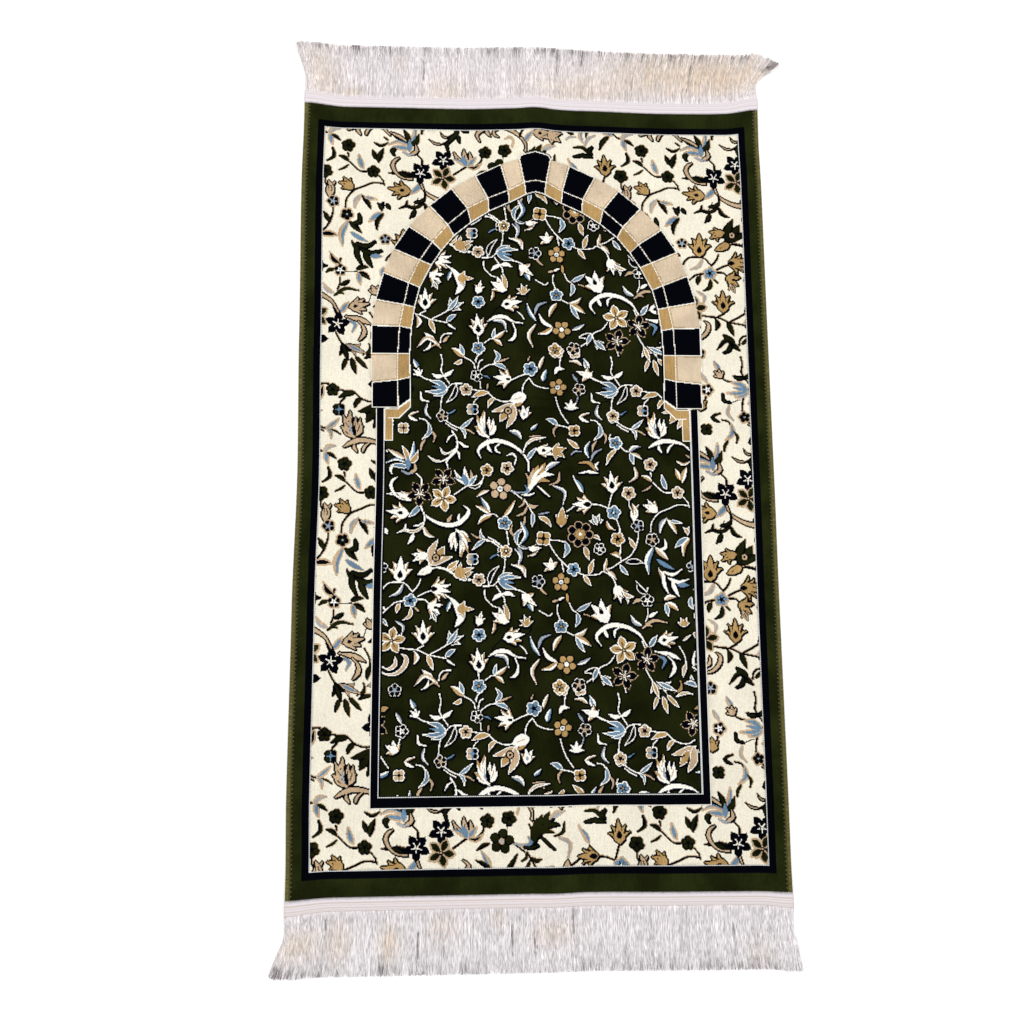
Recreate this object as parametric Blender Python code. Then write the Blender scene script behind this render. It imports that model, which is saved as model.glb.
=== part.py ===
"""Machine-woven prayer rug, lying flat: pile body, overcast sides, fringed heading tapes.

Metres, +Z up. The origin is the centre of the underside, +Y points to the arch's end.
"""

import math
import random
from collections import namedtuple

import bmesh
import bpy

COLLECTION = "prayer_rug"
MM = 0.001

# --- driving dimensions -------------------------------------------------------------
HALF_WIDTH = 341.0 * MM         # to the outside of the overcast sides
HALF_LENGTH = 567.0 * MM        # to the line where the heading tapes begin
THICKNESS = 4.6 * MM            # backing and pile
GAP = 0.3 * MM                  # between pieces that touch

SELVEDGE_LENGTH = 15.0 * MM     # flat-woven tongue that runs under each heading tape
SELVEDGE_THICKNESS = 1.6 * MM
PILE_SLOPE = 0.2 * MM           # the pile's end falls to the selvedge over this much

BINDING_WIDTH = 6.5 * MM
BINDING_HEIGHT = 4.3 * MM
BINDING_WALL = 0.9 * MM         # overcast yarn above and below the trimmed edge
EDGE_TONGUE_WIDTH = 4.6 * MM    # trimmed edge of the cloth inside the overcasting
EDGE_TONGUE_LOW = BINDING_WALL + GAP
EDGE_TONGUE_HIGH = BINDING_HEIGHT - BINDING_WALL - GAP
PILE_EDGE = HALF_WIDTH - BINDING_WIDTH - GAP

TAPE_WIDTH = 22.0 * MM
TAPE_EDGE_THICKNESS = 1.7 * MM
CORNER_SPREAD = 3.0 * MM        # how much the tape's outer edge fans out at its ends
SPREAD_REACH = 45.0 * MM

LOCKS_PER_HALF = 50
LOCK_LENGTH = 77.0 * MM
LOCK_LENGTH_SPREAD = 1.6 * MM
LEANING_LOSS = 0.10             # share of its length that a lock lacks where it leans most
LOCK_STEPS = 3
LOCK_PITCH = HALF_WIDTH / LOCKS_PER_HALF
LOCK_TIP_THICKNESS = 1.0 * MM
LOCK_TAPER = 0.34               # share of its width that a lock loses by its tip
LOCK_GAP = 1.0 * MM             # between neighbours at the root
LOCK_LANDS_AT = 0.5             # share of its length where a lock reaches the floor

# places across the rug where cloth and tape bend together, counted in locks from the middle:
# close together over the lengthwise crease and at the lifted corners
BENDS = [1, 3, 5, 7, 9, 11, 15, 20, 26, 32, 38, 42, 45, 47, 48, 49, LOCKS_PER_HALF]
LENGTHWISE_BAYS = 25            # an odd count, so that one bay lies over the origin

# --- how the real rug lies: a row for each place that is uneven -----------------------
# in-plane sway of the two side edges, outward positive
SideSway = namedtuple("SideSway", "y left right")
SIDE_SWAY = [
    SideSway(-567 * MM, 0.0 * MM, 0.0 * MM),
    SideSway(-430 * MM, 2.0 * MM, 0.6 * MM),
    SideSway(-180 * MM, 1.0 * MM, 0.6 * MM),
    SideSway(10 * MM, -2.2 * MM, 1.4 * MM),
    SideSway(210 * MM, 0.0 * MM, 1.5 * MM),
    SideSway(440 * MM, 2.0 * MM, 2.0 * MM),
    SideSway(567 * MM, 0.0 * MM, 0.0 * MM),
]

# in-plane bow of the two ends, outward positive
EndBow = namedtuple("EndBow", "x top bottom")
END_BOW = [
    EndBow(-341 * MM, 3.5 * MM, 2.8 * MM),
    EndBow(-280 * MM, -1.0 * MM, -0.2 * MM),
    EndBow(-110 * MM, -1.4 * MM, -0.6 * MM),
    EndBow(0 * MM, 2.0 * MM, -0.8 * MM),
    EndBow(70 * MM, -1.0 * MM, -1.9 * MM),
    EndBow(190 * MM, -3.4 * MM, -0.3 * MM),
    EndBow(290 * MM, -2.6 * MM, 0.4 * MM),
    EndBow(341 * MM, 2.6 * MM, 2.4 * MM),
]

# soft ridges left by folding; each fades from its outer end to nothing at its inner end
Ridge = namedtuple("Ridge", "x_outer y_outer x_inner y_inner half_width height")
RIDGES = [
    Ridge(3 * MM, 590 * MM, 10 * MM, 130 * MM, 34 * MM, 3.6 * MM),
    Ridge(22 * MM, -590 * MM, 14 * MM, -130 * MM, 36 * MM, 2.8 * MM),
]

# corners that stand a little off the floor
CornerLift = namedtuple("CornerLift", "x y height reach")
CORNER_LIFTS = [
    CornerLift(345 * MM, 590 * MM, 7.0 * MM, 95 * MM),
    CornerLift(-345 * MM, -590 * MM, 5.0 * MM, 80 * MM),
    CornerLift(-345 * MM, 590 * MM, 3.5 * MM, 80 * MM),
    CornerLift(345 * MM, -590 * MM, 2.5 * MM, 70 * MM),
]

# which way the fringe lies, in degrees from straight out, towards +X positive
Fan = namedtuple("Fan", "x top bottom")
FAN = [
    Fan(-341 * MM, -17.0, -23.0),
    Fan(-305 * MM, -3.0, -8.0),
    Fan(-180 * MM, 1.5, -2.0),
    Fan(-20 * MM, -1.0, 0.0),
    Fan(60 * MM, 5.0, 1.0),
    Fan(130 * MM, 13.0, 0.0),
    Fan(290 * MM, 14.0, 5.0),
    Fan(324 * MM, 22.0, 7.0),
    Fan(341 * MM, 50.0, 12.0),
]
FAN_STARTS_AT = 0.12            # share of a lock's length where it begins to bend
FAN_FULL_AT = 0.60

# the heading tape's cross-section: out from the rug's end, and height
TapePoint = namedtuple("TapePoint", "out height")
TAPE_TOP = [
    TapePoint(PILE_SLOPE + GAP, 3.9 * MM),
    TapePoint(2.6 * MM, 4.3 * MM),
    TapePoint(5.2 * MM, 3.5 * MM),
    TapePoint(7.4 * MM, 4.1 * MM),
    TapePoint(9.8 * MM, 3.4 * MM),
    TapePoint(12.0 * MM, 4.0 * MM),
    TapePoint(14.4 * MM, 3.4 * MM),
    TapePoint(16.4 * MM, 3.6 * MM),
    TapePoint(19.4 * MM, 2.1 * MM),
]
TAPE_UNDERSIDE = [
    TapePoint(17.6 * MM, 0.0),
    TapePoint(SELVEDGE_LENGTH + GAP, SELVEDGE_THICKNESS + GAP),
    TapePoint(PILE_SLOPE + GAP, SELVEDGE_THICKNESS + GAP),
]

# colours as linear values
PILE_GREEN = (0.016, 0.020, 0.005, 1.0)
BINDING_OLIVE = (0.130, 0.125, 0.030, 1.0)
FRINGE_WHITE = (0.740, 0.690, 0.620, 1.0)


# --- shape functions ------------------------------------------------------------------
def smooth(share):
    """Ease from 0 to 1."""
    share = min(1.0, max(0.0, share))
    return share * share * (3.0 - 2.0 * share)


def eased(rows, key, column, at):
    """Read a table's column between its rows, with a smooth change from row to row."""
    place = min(max(at, getattr(rows[0], key)), getattr(rows[-1], key))
    for low, high in zip(rows, rows[1:]):
        if place <= getattr(high, key):
            break
    start = getattr(low, key)
    share = smooth((place - start) / (getattr(high, key) - start))
    return getattr(low, column) * (1.0 - share) + getattr(high, column) * share


def swell(share):
    """A soft hump: 1 at its middle, 0 with no slope from a share of 1 outwards."""
    return 0.5 * (1.0 + math.cos(math.pi * share)) if share < 1.0 else 0.0


def ridge_height(ridge, x, y):
    along = (y - ridge.y_inner) / (ridge.y_outer - ridge.y_inner)
    if along <= 0.0:
        return 0.0
    axis_x = ridge.x_inner + (ridge.x_outer - ridge.x_inner) * along
    return ridge.height * smooth(along) * swell(abs(x - axis_x) / ridge.half_width)


def lift_at(x, y):
    """Height of the cloth's underside above the floor."""
    total = sum(ridge_height(ridge, x, y) for ridge in RIDGES)
    for corner in CORNER_LIFTS:
        away = math.hypot(x - corner.x, y - corner.y) / corner.reach
        total += corner.height * swell(away)
    return total


def lie(x, y):
    """Move a point of the true rectangle to where the real cloth lies, in plan."""
    side = "right" if x > 0.0 else "left"
    end = "top" if y > 0.0 else "bottom"
    sway = eased(SIDE_SWAY, "y", side, y) * x / HALF_WIDTH
    along = max(-1.0, min(1.0, y / HALF_LENGTH))
    bow = eased(END_BOW, "x", end, x) * abs(along) * along
    return x + sway, y + bow


def placed(x, y, height):
    """A point of the flat cloth, at a height over its underside, on the real lying rug."""
    real_x, real_y = lie(x, y)
    return real_x, real_y, lift_at(real_x, real_y) + height


def spaced(low, high, pitch):
    bays = max(1, round((high - low) / pitch))
    return [low + (high - low) * bay / bays for bay in range(bays + 1)]


def loft(bm, rings):
    """Skin closed rings of equally many points, and return the first and last ring."""
    loops = [[bm.verts.new(point) for point in ring] for ring in rings]
    count = len(loops[0])
    for ring, following in zip(loops, loops[1:]):
        for index in range(count):
            after = (index + 1) % count
            bm.faces.new((ring[index], ring[after], following[after], following[index]))
    return loops[0], loops[-1]


def add_piece(name, bm, material):
    bmesh.ops.recalc_face_normals(bm, faces=bm.faces)
    mesh = bpy.data.meshes.new(name)
    bm.to_mesh(mesh)
    bm.free()
    mesh.materials.append(material)
    piece = bpy.data.objects.new(name, mesh)
    bpy.data.collections[COLLECTION].objects.link(piece)
    return piece


def cloth_material(name, color, roughness):
    material = bpy.data.materials.new(name)
    material.use_nodes = True
    shader = material.node_tree.nodes["Principled BSDF"]
    shader.inputs["Base Color"].default_value = color
    shader.inputs["Roughness"].default_value = roughness
    shader.inputs["Metallic"].default_value = 0.0
    return material


# --- the woven rug ----------------------------------------------------------------------
def rug_columns():
    """Places across the rug, out to where the pile is trimmed for the overcasting."""
    half = [count * LOCK_PITCH for count in BENDS if count * LOCK_PITCH < PILE_EDGE]
    half.append(PILE_EDGE)
    return [-x for x in reversed(half)] + half


def rug_ring(y, top, right_side):
    """One cross-section of the rug, with the points of its right edge from low to high."""
    columns = rug_columns()
    left_side = [(-x, height) for x, height in reversed(right_side)]
    outline = [(x, 0.0) for x in columns] + right_side
    outline += [(x, top) for x in reversed(columns)] + left_side
    return [placed(x, y, height) for x, height in outline]


def close_end(bm, ring):
    """Close an end of the rug bay by bay, because the end bows between its corners."""
    across = len(rug_columns())
    half = len(ring) // 2
    low = ring[:across]
    high = ring[half:half + across][::-1]
    for bay in range(across - 1):
        bm.faces.new((low[bay], low[bay + 1], high[bay + 1], high[bay]))
    bm.faces.new(ring[across - 1:half + 1])
    bm.faces.new(ring[half + across - 1:] + ring[:1])


def build_rug(material):
    """Pile body with a trimmed tongue along each side and a thin selvedge at each end."""
    tongue_edge = HALF_WIDTH - BINDING_WIDTH + EDGE_TONGUE_WIDTH
    tongue = [
        (PILE_EDGE, EDGE_TONGUE_LOW),
        (tongue_edge, EDGE_TONGUE_LOW),
        (tongue_edge, EDGE_TONGUE_HIGH),
        (PILE_EDGE, EDGE_TONGUE_HIGH),
    ]
    plain = [(PILE_EDGE, SELVEDGE_THICKNESS * share / 5) for share in range(1, 5)]
    stations = spaced(-HALF_LENGTH, HALF_LENGTH, 2 * HALF_LENGTH / LENGTHWISE_BAYS)
    rings = [rug_ring(y, THICKNESS, tongue) for y in stations]
    for out in (PILE_SLOPE, SELVEDGE_LENGTH):
        rings.append(rug_ring(HALF_LENGTH + out, SELVEDGE_THICKNESS, plain))
        rings.insert(0, rug_ring(-HALF_LENGTH - out, SELVEDGE_THICKNESS, plain))
    bm = bmesh.new()
    for ring in loft(bm, rings):
        close_end(bm, ring)
    return add_piece("rug", bm, material)


# --- overcast sides ---------------------------------------------------------------------
def binding_ring(side, y):
    """The overcasting wraps the trimmed edge as a soft-cornered channel."""
    inner = HALF_WIDTH - BINDING_WIDTH
    slot_end = inner + EDGE_TONGUE_WIDTH + GAP
    corner = 1.2 * MM
    outline = [
        (inner, 0.0),
        (HALF_WIDTH - corner, 0.0),
        (HALF_WIDTH, corner),
        (HALF_WIDTH, BINDING_HEIGHT - 1.5 * corner),
        (HALF_WIDTH - corner, BINDING_HEIGHT - 0.4 * corner),
        (HALF_WIDTH - 0.5 * BINDING_WIDTH, BINDING_HEIGHT),
        (inner, BINDING_HEIGHT - 0.3 * corner),
        (inner, BINDING_HEIGHT - BINDING_WALL),
        (slot_end, BINDING_HEIGHT - BINDING_WALL),
        (slot_end, BINDING_WALL),
        (inner, BINDING_WALL),
    ]
    return [placed(side * x, y, height) for x, height in outline]


def build_binding(name, side, material):
    bm = bmesh.new()
    stations = spaced(-HALF_LENGTH, HALF_LENGTH, 2 * HALF_LENGTH / LENGTHWISE_BAYS)
    for ring in loft(bm, [binding_ring(side, y) for y in stations]):
        bm.faces.new(ring)
    return add_piece(name, bm, material)


# --- heading tapes with their fringe ------------------------------------------------------
def tape_point(end, x, out, height):
    """A point of the heading tape, which fans out a little towards its ends."""
    spread = CORNER_SPREAD * (1.0 - smooth((HALF_WIDTH - abs(x)) / SPREAD_REACH))
    x_real, y_real = lie(x, end * HALF_LENGTH)
    y_real += end * out * (1.0 + spread / TAPE_WIDTH)
    return x_real, y_real, lift_at(x_real, y_real) + height


def lock_path(end, x, length, share):
    """Where a strand that leaves the tape at x lies, at a share of its length."""
    place_x, place_y, root_height = tape_point(end, x, TAPE_WIDTH, 0.0)
    lean = math.radians(eased(FAN, "x", "top" if end > 0 else "bottom", x))
    length *= 1.0 - LEANING_LOSS * math.sin(lean) ** 2
    steps = LOCK_STEPS * 4
    for step in range(round(share * steps)):
        middle = (step + 0.5) / steps
        angle = lean * smooth((middle - FAN_STARTS_AT) / (FAN_FULL_AT - FAN_STARTS_AT))
        place_x += math.sin(angle) * length / steps
        place_y += end * math.cos(angle) * length / steps
    return place_x, place_y, root_height * (1.0 - smooth(share / LOCK_LANDS_AT))


def lock_corners(end, x_left, x_right, length, share):
    """The four corners of a lock's section: bottom left, bottom right, top right, top left."""
    left = lock_path(end, x_left, length, share)
    right = lock_path(end, x_right, length, share)
    keep = 1.0 - LOCK_TAPER * share
    thickness = TAPE_EDGE_THICKNESS * (1.0 - share) + LOCK_TIP_THICKNESS * share
    centre = [(a + b) / 2 for a, b in zip(left, right)]
    low = [[c + (p - c) * keep for c, p in zip(centre, side)] for side in (left, right)]
    high = [[x, y, z + thickness] for x, y, z in low]
    return [low[0], low[1], high[1], high[0]]


def grow_lock(bm, end, root, x_left, x_right, length):
    """Extrude a lock step by step from its face on the tape's outer edge."""
    face = bm.faces.new(root)
    for step in range(1, LOCK_STEPS + 1):
        corners = lock_corners(end, x_left, x_right, length, step / LOCK_STEPS)
        grown = bmesh.ops.extrude_discrete_faces(bm, faces=[face])
        face = grown["faces"][0]
        for vert, corner in zip(face.verts, corners):
            vert.co = corner


def edge_row(bm, end, places, height):
    return [bm.verts.new(tape_point(end, x, TAPE_WIDTH, height)) for x in places]


def build_fringe(name, end, material, seed):
    """The ribbed heading tape, with the fringe's locks fused into its outer edge."""
    chance = random.Random(seed)
    counts = [-count for count in reversed(BENDS)] + BENDS
    profile = TAPE_UNDERSIDE + TAPE_TOP
    bm = bmesh.new()

    sections = []
    for count in counts:
        x = count * LOCK_PITCH
        sections.append([bm.verts.new(tape_point(end, x, *point)) for point in profile])
    for ring, following in zip(sections, sections[1:]):
        for index in range(len(profile) - 1):
            bm.faces.new((ring[index], ring[index + 1], following[index + 1], following[index]))

    borders = [count * LOCK_PITCH for count in counts]
    rim_low = edge_row(bm, end, borders, 0.0)
    rim_high = edge_row(bm, end, borders, TAPE_EDGE_THICKNESS)
    for bay, (first_lock, past_lock) in enumerate(zip(counts, counts[1:])):
        roots = []
        for lock in range(first_lock, past_lock):
            left = lock * LOCK_PITCH + LOCK_GAP / 2
            roots += [left, left + LOCK_PITCH - LOCK_GAP]
        low = [rim_low[bay]] + edge_row(bm, end, roots, 0.0) + [rim_low[bay + 1]]
        high = edge_row(bm, end, roots, TAPE_EDGE_THICKNESS)
        high = [rim_high[bay]] + high + [rim_high[bay + 1]]
        bm.faces.new([sections[bay + 1][0], sections[bay][0]] + low)
        bm.faces.new([sections[bay][-1], sections[bay + 1][-1]] + high[::-1])
        for corner in range(0, len(low) - 1, 2):
            bm.faces.new((low[corner], low[corner + 1], high[corner + 1], high[corner]))
        for corner in range(1, len(low) - 1, 2):
            root = (low[corner], low[corner + 1], high[corner + 1], high[corner])
            length = LOCK_LENGTH + chance.uniform(-1.0, 1.0) * LOCK_LENGTH_SPREAD
            grow_lock(bm, end, root, roots[corner - 1], roots[corner], length)

    for bay in (0, -1):
        bm.faces.new([rim_low[bay]] + sections[bay] + [rim_high[bay]])
    return add_piece(name, bm, material)


def main():
    for existing in list(bpy.data.objects):
        bpy.data.objects.remove(existing, do_unlink=True)
    collection = bpy.data.collections.new(COLLECTION)
    bpy.context.scene.collection.children.link(collection)

    build_rug(cloth_material("green_pile", PILE_GREEN, 0.9))
    olive = cloth_material("olive_overcasting", BINDING_OLIVE, 0.75)
    build_binding("side_binding_left", -1.0, olive)
    build_binding("side_binding_right", 1.0, olive)
    white = cloth_material("fringe_yarn", FRINGE_WHITE, 0.7)
    build_fringe("fringe_top", 1.0, white, seed=11)
    build_fringe("fringe_bottom", -1.0, white, seed=12)


main()
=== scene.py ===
"""Looks of a machine-woven prayer rug: knotted pile, overcast sides, heading tapes and fringe.

Metres and +Z up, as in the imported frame. The woven design is worked out in millimetres of the
flat rug, and every place is then moved to where the real cloth lies.
"""

import math
from collections import namedtuple

import bmesh
import bpy
import numpy as np
from bpy.props import FloatProperty, FloatVectorProperty, IntProperty, PointerProperty
from mathutils import Matrix, Vector


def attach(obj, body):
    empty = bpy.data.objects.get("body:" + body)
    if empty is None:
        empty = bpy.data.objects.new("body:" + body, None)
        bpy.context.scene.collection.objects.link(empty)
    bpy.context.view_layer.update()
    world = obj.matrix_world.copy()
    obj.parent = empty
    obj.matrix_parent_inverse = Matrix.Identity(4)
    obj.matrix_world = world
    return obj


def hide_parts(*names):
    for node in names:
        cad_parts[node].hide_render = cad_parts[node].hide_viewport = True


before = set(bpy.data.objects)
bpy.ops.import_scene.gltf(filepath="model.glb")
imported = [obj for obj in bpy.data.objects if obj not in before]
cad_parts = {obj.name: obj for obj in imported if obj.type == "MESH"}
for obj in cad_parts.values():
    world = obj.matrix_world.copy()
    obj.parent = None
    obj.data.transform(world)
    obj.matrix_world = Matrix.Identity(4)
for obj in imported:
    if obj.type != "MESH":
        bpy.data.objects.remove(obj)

bl_info = {
    "name": "Prayer Rug",
    "version": (1, 0, 0),
    "blender": (4, 5, 0),
    "location": "View3D > Sidebar > Prayer Rug",
    "description": "Dresses the prayer rug's solids with pile, overcasting, headings and fringe",
    "category": "Object",
}

MM = 0.001

# --- the solids' dimensions, as in the part's source ------------------------------------
HALF_WIDTH = 341.0 * MM
HALF_LENGTH = 567.0 * MM
THICKNESS = 4.6 * MM
GAP = 0.3 * MM
SELVEDGE_LENGTH = 15.0 * MM
SELVEDGE_THICKNESS = 1.6 * MM
BINDING_WIDTH = 6.5 * MM
BINDING_HEIGHT = 4.3 * MM
BINDING_WALL = 0.9 * MM
EDGE_TONGUE_WIDTH = 4.6 * MM
PILE_EDGE = HALF_WIDTH - BINDING_WIDTH - GAP
TAPE_WIDTH = 22.0 * MM
CORNER_SPREAD = 3.0 * MM
SPREAD_REACH = 45.0 * MM
FRINGE_LENGTH = 77.0 * MM
LEANING_LOSS = 0.10
FRINGE_LANDS_AT = 0.5
FAN_STARTS_AT = 0.12
FAN_FULL_AT = 0.60

# how the real rug lies; a row for each place that is uneven, in millimetres and degrees
SIDE_SWAY = np.array([       # y, left edge and right edge outwards
    (-567.0, 0.0, 0.0),
    (-430.0, 2.0, 0.6),
    (-180.0, 1.0, 0.6),
    (10.0, -2.2, 1.4),
    (210.0, 0.0, 1.5),
    (440.0, 2.0, 2.0),
    (567.0, 0.0, 0.0),
])
END_BOW = np.array([         # x, top end and bottom end outwards
    (-341.0, 3.5, 2.8),
    (-280.0, -1.0, -0.2),
    (-110.0, -1.4, -0.6),
    (0.0, 2.0, -0.8),
    (70.0, -1.0, -1.9),
    (190.0, -3.4, -0.3),
    (290.0, -2.6, 0.4),
    (341.0, 2.6, 2.4),
])
FAN = np.array([             # x, lean of the top and the bottom fringe towards +X
    (-341.0, -17.0, -23.0),
    (-305.0, -3.0, -8.0),
    (-180.0, 1.5, -2.0),
    (-20.0, -1.0, 0.0),
    (60.0, 5.0, 1.0),
    (130.0, 13.0, 0.0),
    (290.0, 14.0, 5.0),
    (324.0, 22.0, 7.0),
    (341.0, 50.0, 12.0),
])

Ridge = namedtuple("Ridge", "x_outer y_outer x_inner y_inner half_width height")
RIDGES = [
    Ridge(3 * MM, 590 * MM, 10 * MM, 130 * MM, 34 * MM, 3.6 * MM),
    Ridge(22 * MM, -590 * MM, 14 * MM, -130 * MM, 36 * MM, 2.8 * MM),
]
CornerLift = namedtuple("CornerLift", "x y height reach")
CORNER_LIFTS = [
    CornerLift(345 * MM, 590 * MM, 7.0 * MM, 95 * MM),
    CornerLift(-345 * MM, -590 * MM, 5.0 * MM, 80 * MM),
    CornerLift(-345 * MM, 590 * MM, 3.5 * MM, 80 * MM),
    CornerLift(345 * MM, -590 * MM, 2.5 * MM, 70 * MM),
]


# --- shape functions: each takes and gives arrays as well as single numbers ----------------
def smooth(share):
    """Ease from 0 to 1."""
    share = np.clip(share, 0.0, 1.0)
    return share * share * (3.0 - 2.0 * share)


def eased(table, column, at):
    """Read a table's column between its rows, with a smooth change from row to row."""
    rows = table[:, 0]
    at = np.clip(at, rows[0], rows[-1])
    low = np.clip(np.searchsorted(rows, at, side="right") - 1, 0, len(rows) - 2)
    share = smooth((at - rows[low]) / (rows[low + 1] - rows[low]))
    return table[low, column] * (1.0 - share) + table[low + 1, column] * share


def swell(share):
    """A soft hump: 1 at its middle, 0 with no slope from a share of 1 outwards."""
    return 0.5 * (1.0 + np.cos(math.pi * np.clip(share, 0.0, 1.0)))


def ridge_height(ridge, x, y):
    along = np.maximum((y - ridge.y_inner) / (ridge.y_outer - ridge.y_inner), 0.0)
    axis_x = ridge.x_inner + (ridge.x_outer - ridge.x_inner) * along
    return ridge.height * smooth(along) * swell(np.abs(x - axis_x) / ridge.half_width)


def lift_at(x, y):
    """Height of the cloth's underside above the floor."""
    total = sum(ridge_height(ridge, x, y) for ridge in RIDGES)
    for corner in CORNER_LIFTS:
        away = np.hypot(x - corner.x, y - corner.y) / corner.reach
        total = total + corner.height * swell(away)
    return total


def lie(x, y):
    """Move a point of the true rectangle to where the real cloth lies, in plan."""
    side = np.where(x > 0.0, eased(SIDE_SWAY, 2, y / MM), eased(SIDE_SWAY, 1, y / MM))
    end = np.where(y > 0.0, eased(END_BOW, 1, x / MM), eased(END_BOW, 2, x / MM))
    along = np.clip(y / HALF_LENGTH, -1.0, 1.0)
    return x + side * MM * x / HALF_WIDTH, y + end * MM * np.abs(along) * along


def placed(x, y, height):
    """Points of the flat cloth, at a height over its underside, on the real lying rug."""
    real_x, real_y = lie(x, y)
    return np.stack(np.broadcast_arrays(real_x, real_y, lift_at(real_x, real_y) + height), -1)


def tape_points(end, x, out, height):
    """Points of a heading tape, which fans out a little towards its ends."""
    spread = CORNER_SPREAD * (1.0 - smooth((HALF_WIDTH - np.abs(x)) / SPREAD_REACH))
    x_real, y_real = lie(x, end * HALF_LENGTH)
    y_real = y_real + end * out * (1.0 + spread / TAPE_WIDTH)
    return np.stack(np.broadcast_arrays(x_real, y_real, lift_at(x_real, y_real) + height), -1)



# --- the woven design ----------------------------------------------------------------------
# One repeat of the floral design runs under the whole rug. Field and border show the same
# repeat in two colourways, so the design holds roles, and each colourway gives a role its yarn.
REPEAT_WIDTH = 436.0
REPEAT_LENGTH = 483.0
REPEAT_COLUMNS = 360
REPEAT_ROWS = 400
KNOT_WIDTH = REPEAT_WIDTH / REPEAT_COLUMNS
KNOT_LENGTH = REPEAT_LENGTH / REPEAT_ROWS

YARNS = ["green", "black", "white", "cream", "gold", "beige", "sand", "blue", "grey", "margin"]
(GREEN_YARN, BLACK_YARN, WHITE_YARN, CREAM_YARN, GOLD_YARN, BEIGE_YARN, SAND_YARN, BLUE_YARN,
 GREY_YARN, MARGIN_YARN) = range(10)

Role = namedtuple("Role", "field border")
ROLES = [
    Role(GREEN_YARN, CREAM_YARN),    # ground
    Role(BLACK_YARN, BEIGE_YARN),    # contour that sets a motif off its ground
    Role(WHITE_YARN, BLACK_YARN),    # vines, and the rim of a leaf
    Role(WHITE_YARN, BEIGE_YARN),    # rim of a blue leaf or a small flower
    Role(GOLD_YARN, GREEN_YARN),     # gold leaf or petal
    Role(BEIGE_YARN, GREEN_YARN),    # beige leaf or petal
    Role(BLUE_YARN, BLUE_YARN),      # blue leaf or petal
    Role(GREY_YARN, GREY_YARN),      # grey shading
    Role(BLACK_YARN, BLACK_YARN),    # black petal or heart
    Role(WHITE_YARN, GREEN_YARN),    # body of a scroll or curl
    Role(WHITE_YARN, BEIGE_YARN),    # body of a lotus or tulip
    Role(GOLD_YARN, BEIGE_YARN),     # gold inside of a lotus
    Role(BEIGE_YARN, BLACK_YARN),    # rim of a dark star
    Role(WHITE_YARN, WHITE_YARN),    # bright heart
    Role(BLACK_YARN, CREAM_YARN),    # second row of a contour, which only the field has
    Role(BEIGE_YARN, BEIGE_YARN),    # tan curl
    Role(WHITE_YARN, GOLD_YARN),     # body of a lotus that is gold in the border
]
(GROUND, CONTOUR, VINE, RIM, GOLD, BEIGE, BLUE, GREY, BLACK, BODY, LOTUS, FLAME, STAR_RIM,
 HEART, OUTER, TAN, AMBER) = range(17)
RIM_OF = {
    GOLD: VINE, BEIGE: VINE, BLUE: RIM, GREY: RIM, BLACK: RIM, BODY: VINE, LOTUS: LOTUS,
    FLAME: LOTUS, TAN: VINE, AMBER: AMBER,
}

RIM_WIDTH = 1.2          # of a leaf's or petal's outline
VINE_WIDTH = 1.6
VEIN_WIDTH = 1.3
AROUND, LEFT, RIGHT, ALONE = "around", "left", "right", "alone"

# leaves and small curls: base, tip, sideways bend towards the left of the way from base to tip,
# width in millimetres, the fill, and on which side of the midrib the fill lies
Leaf = namedtuple("Leaf", "x y tip_x tip_y bend width fill lay")
# leaves of one fill and lay, with a row of Leaf's first six numbers for each; later ones lie on top
Leaves = namedtuple("Leaves", "fill lay rows")
# small flowers, with their petals' fill and what their heart shows
Flower = namedtuple("Flower", "x y width petals turn fill heart")
# lotuses, tulips and buds: a fan of petals from a base, and a heart at a share of its length
Bloom = namedtuple("Bloom", "x y turn length petals spread width fill heart")
# five-petalled stars
Star = namedtuple("Star", "x y width turn fill rim")

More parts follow.
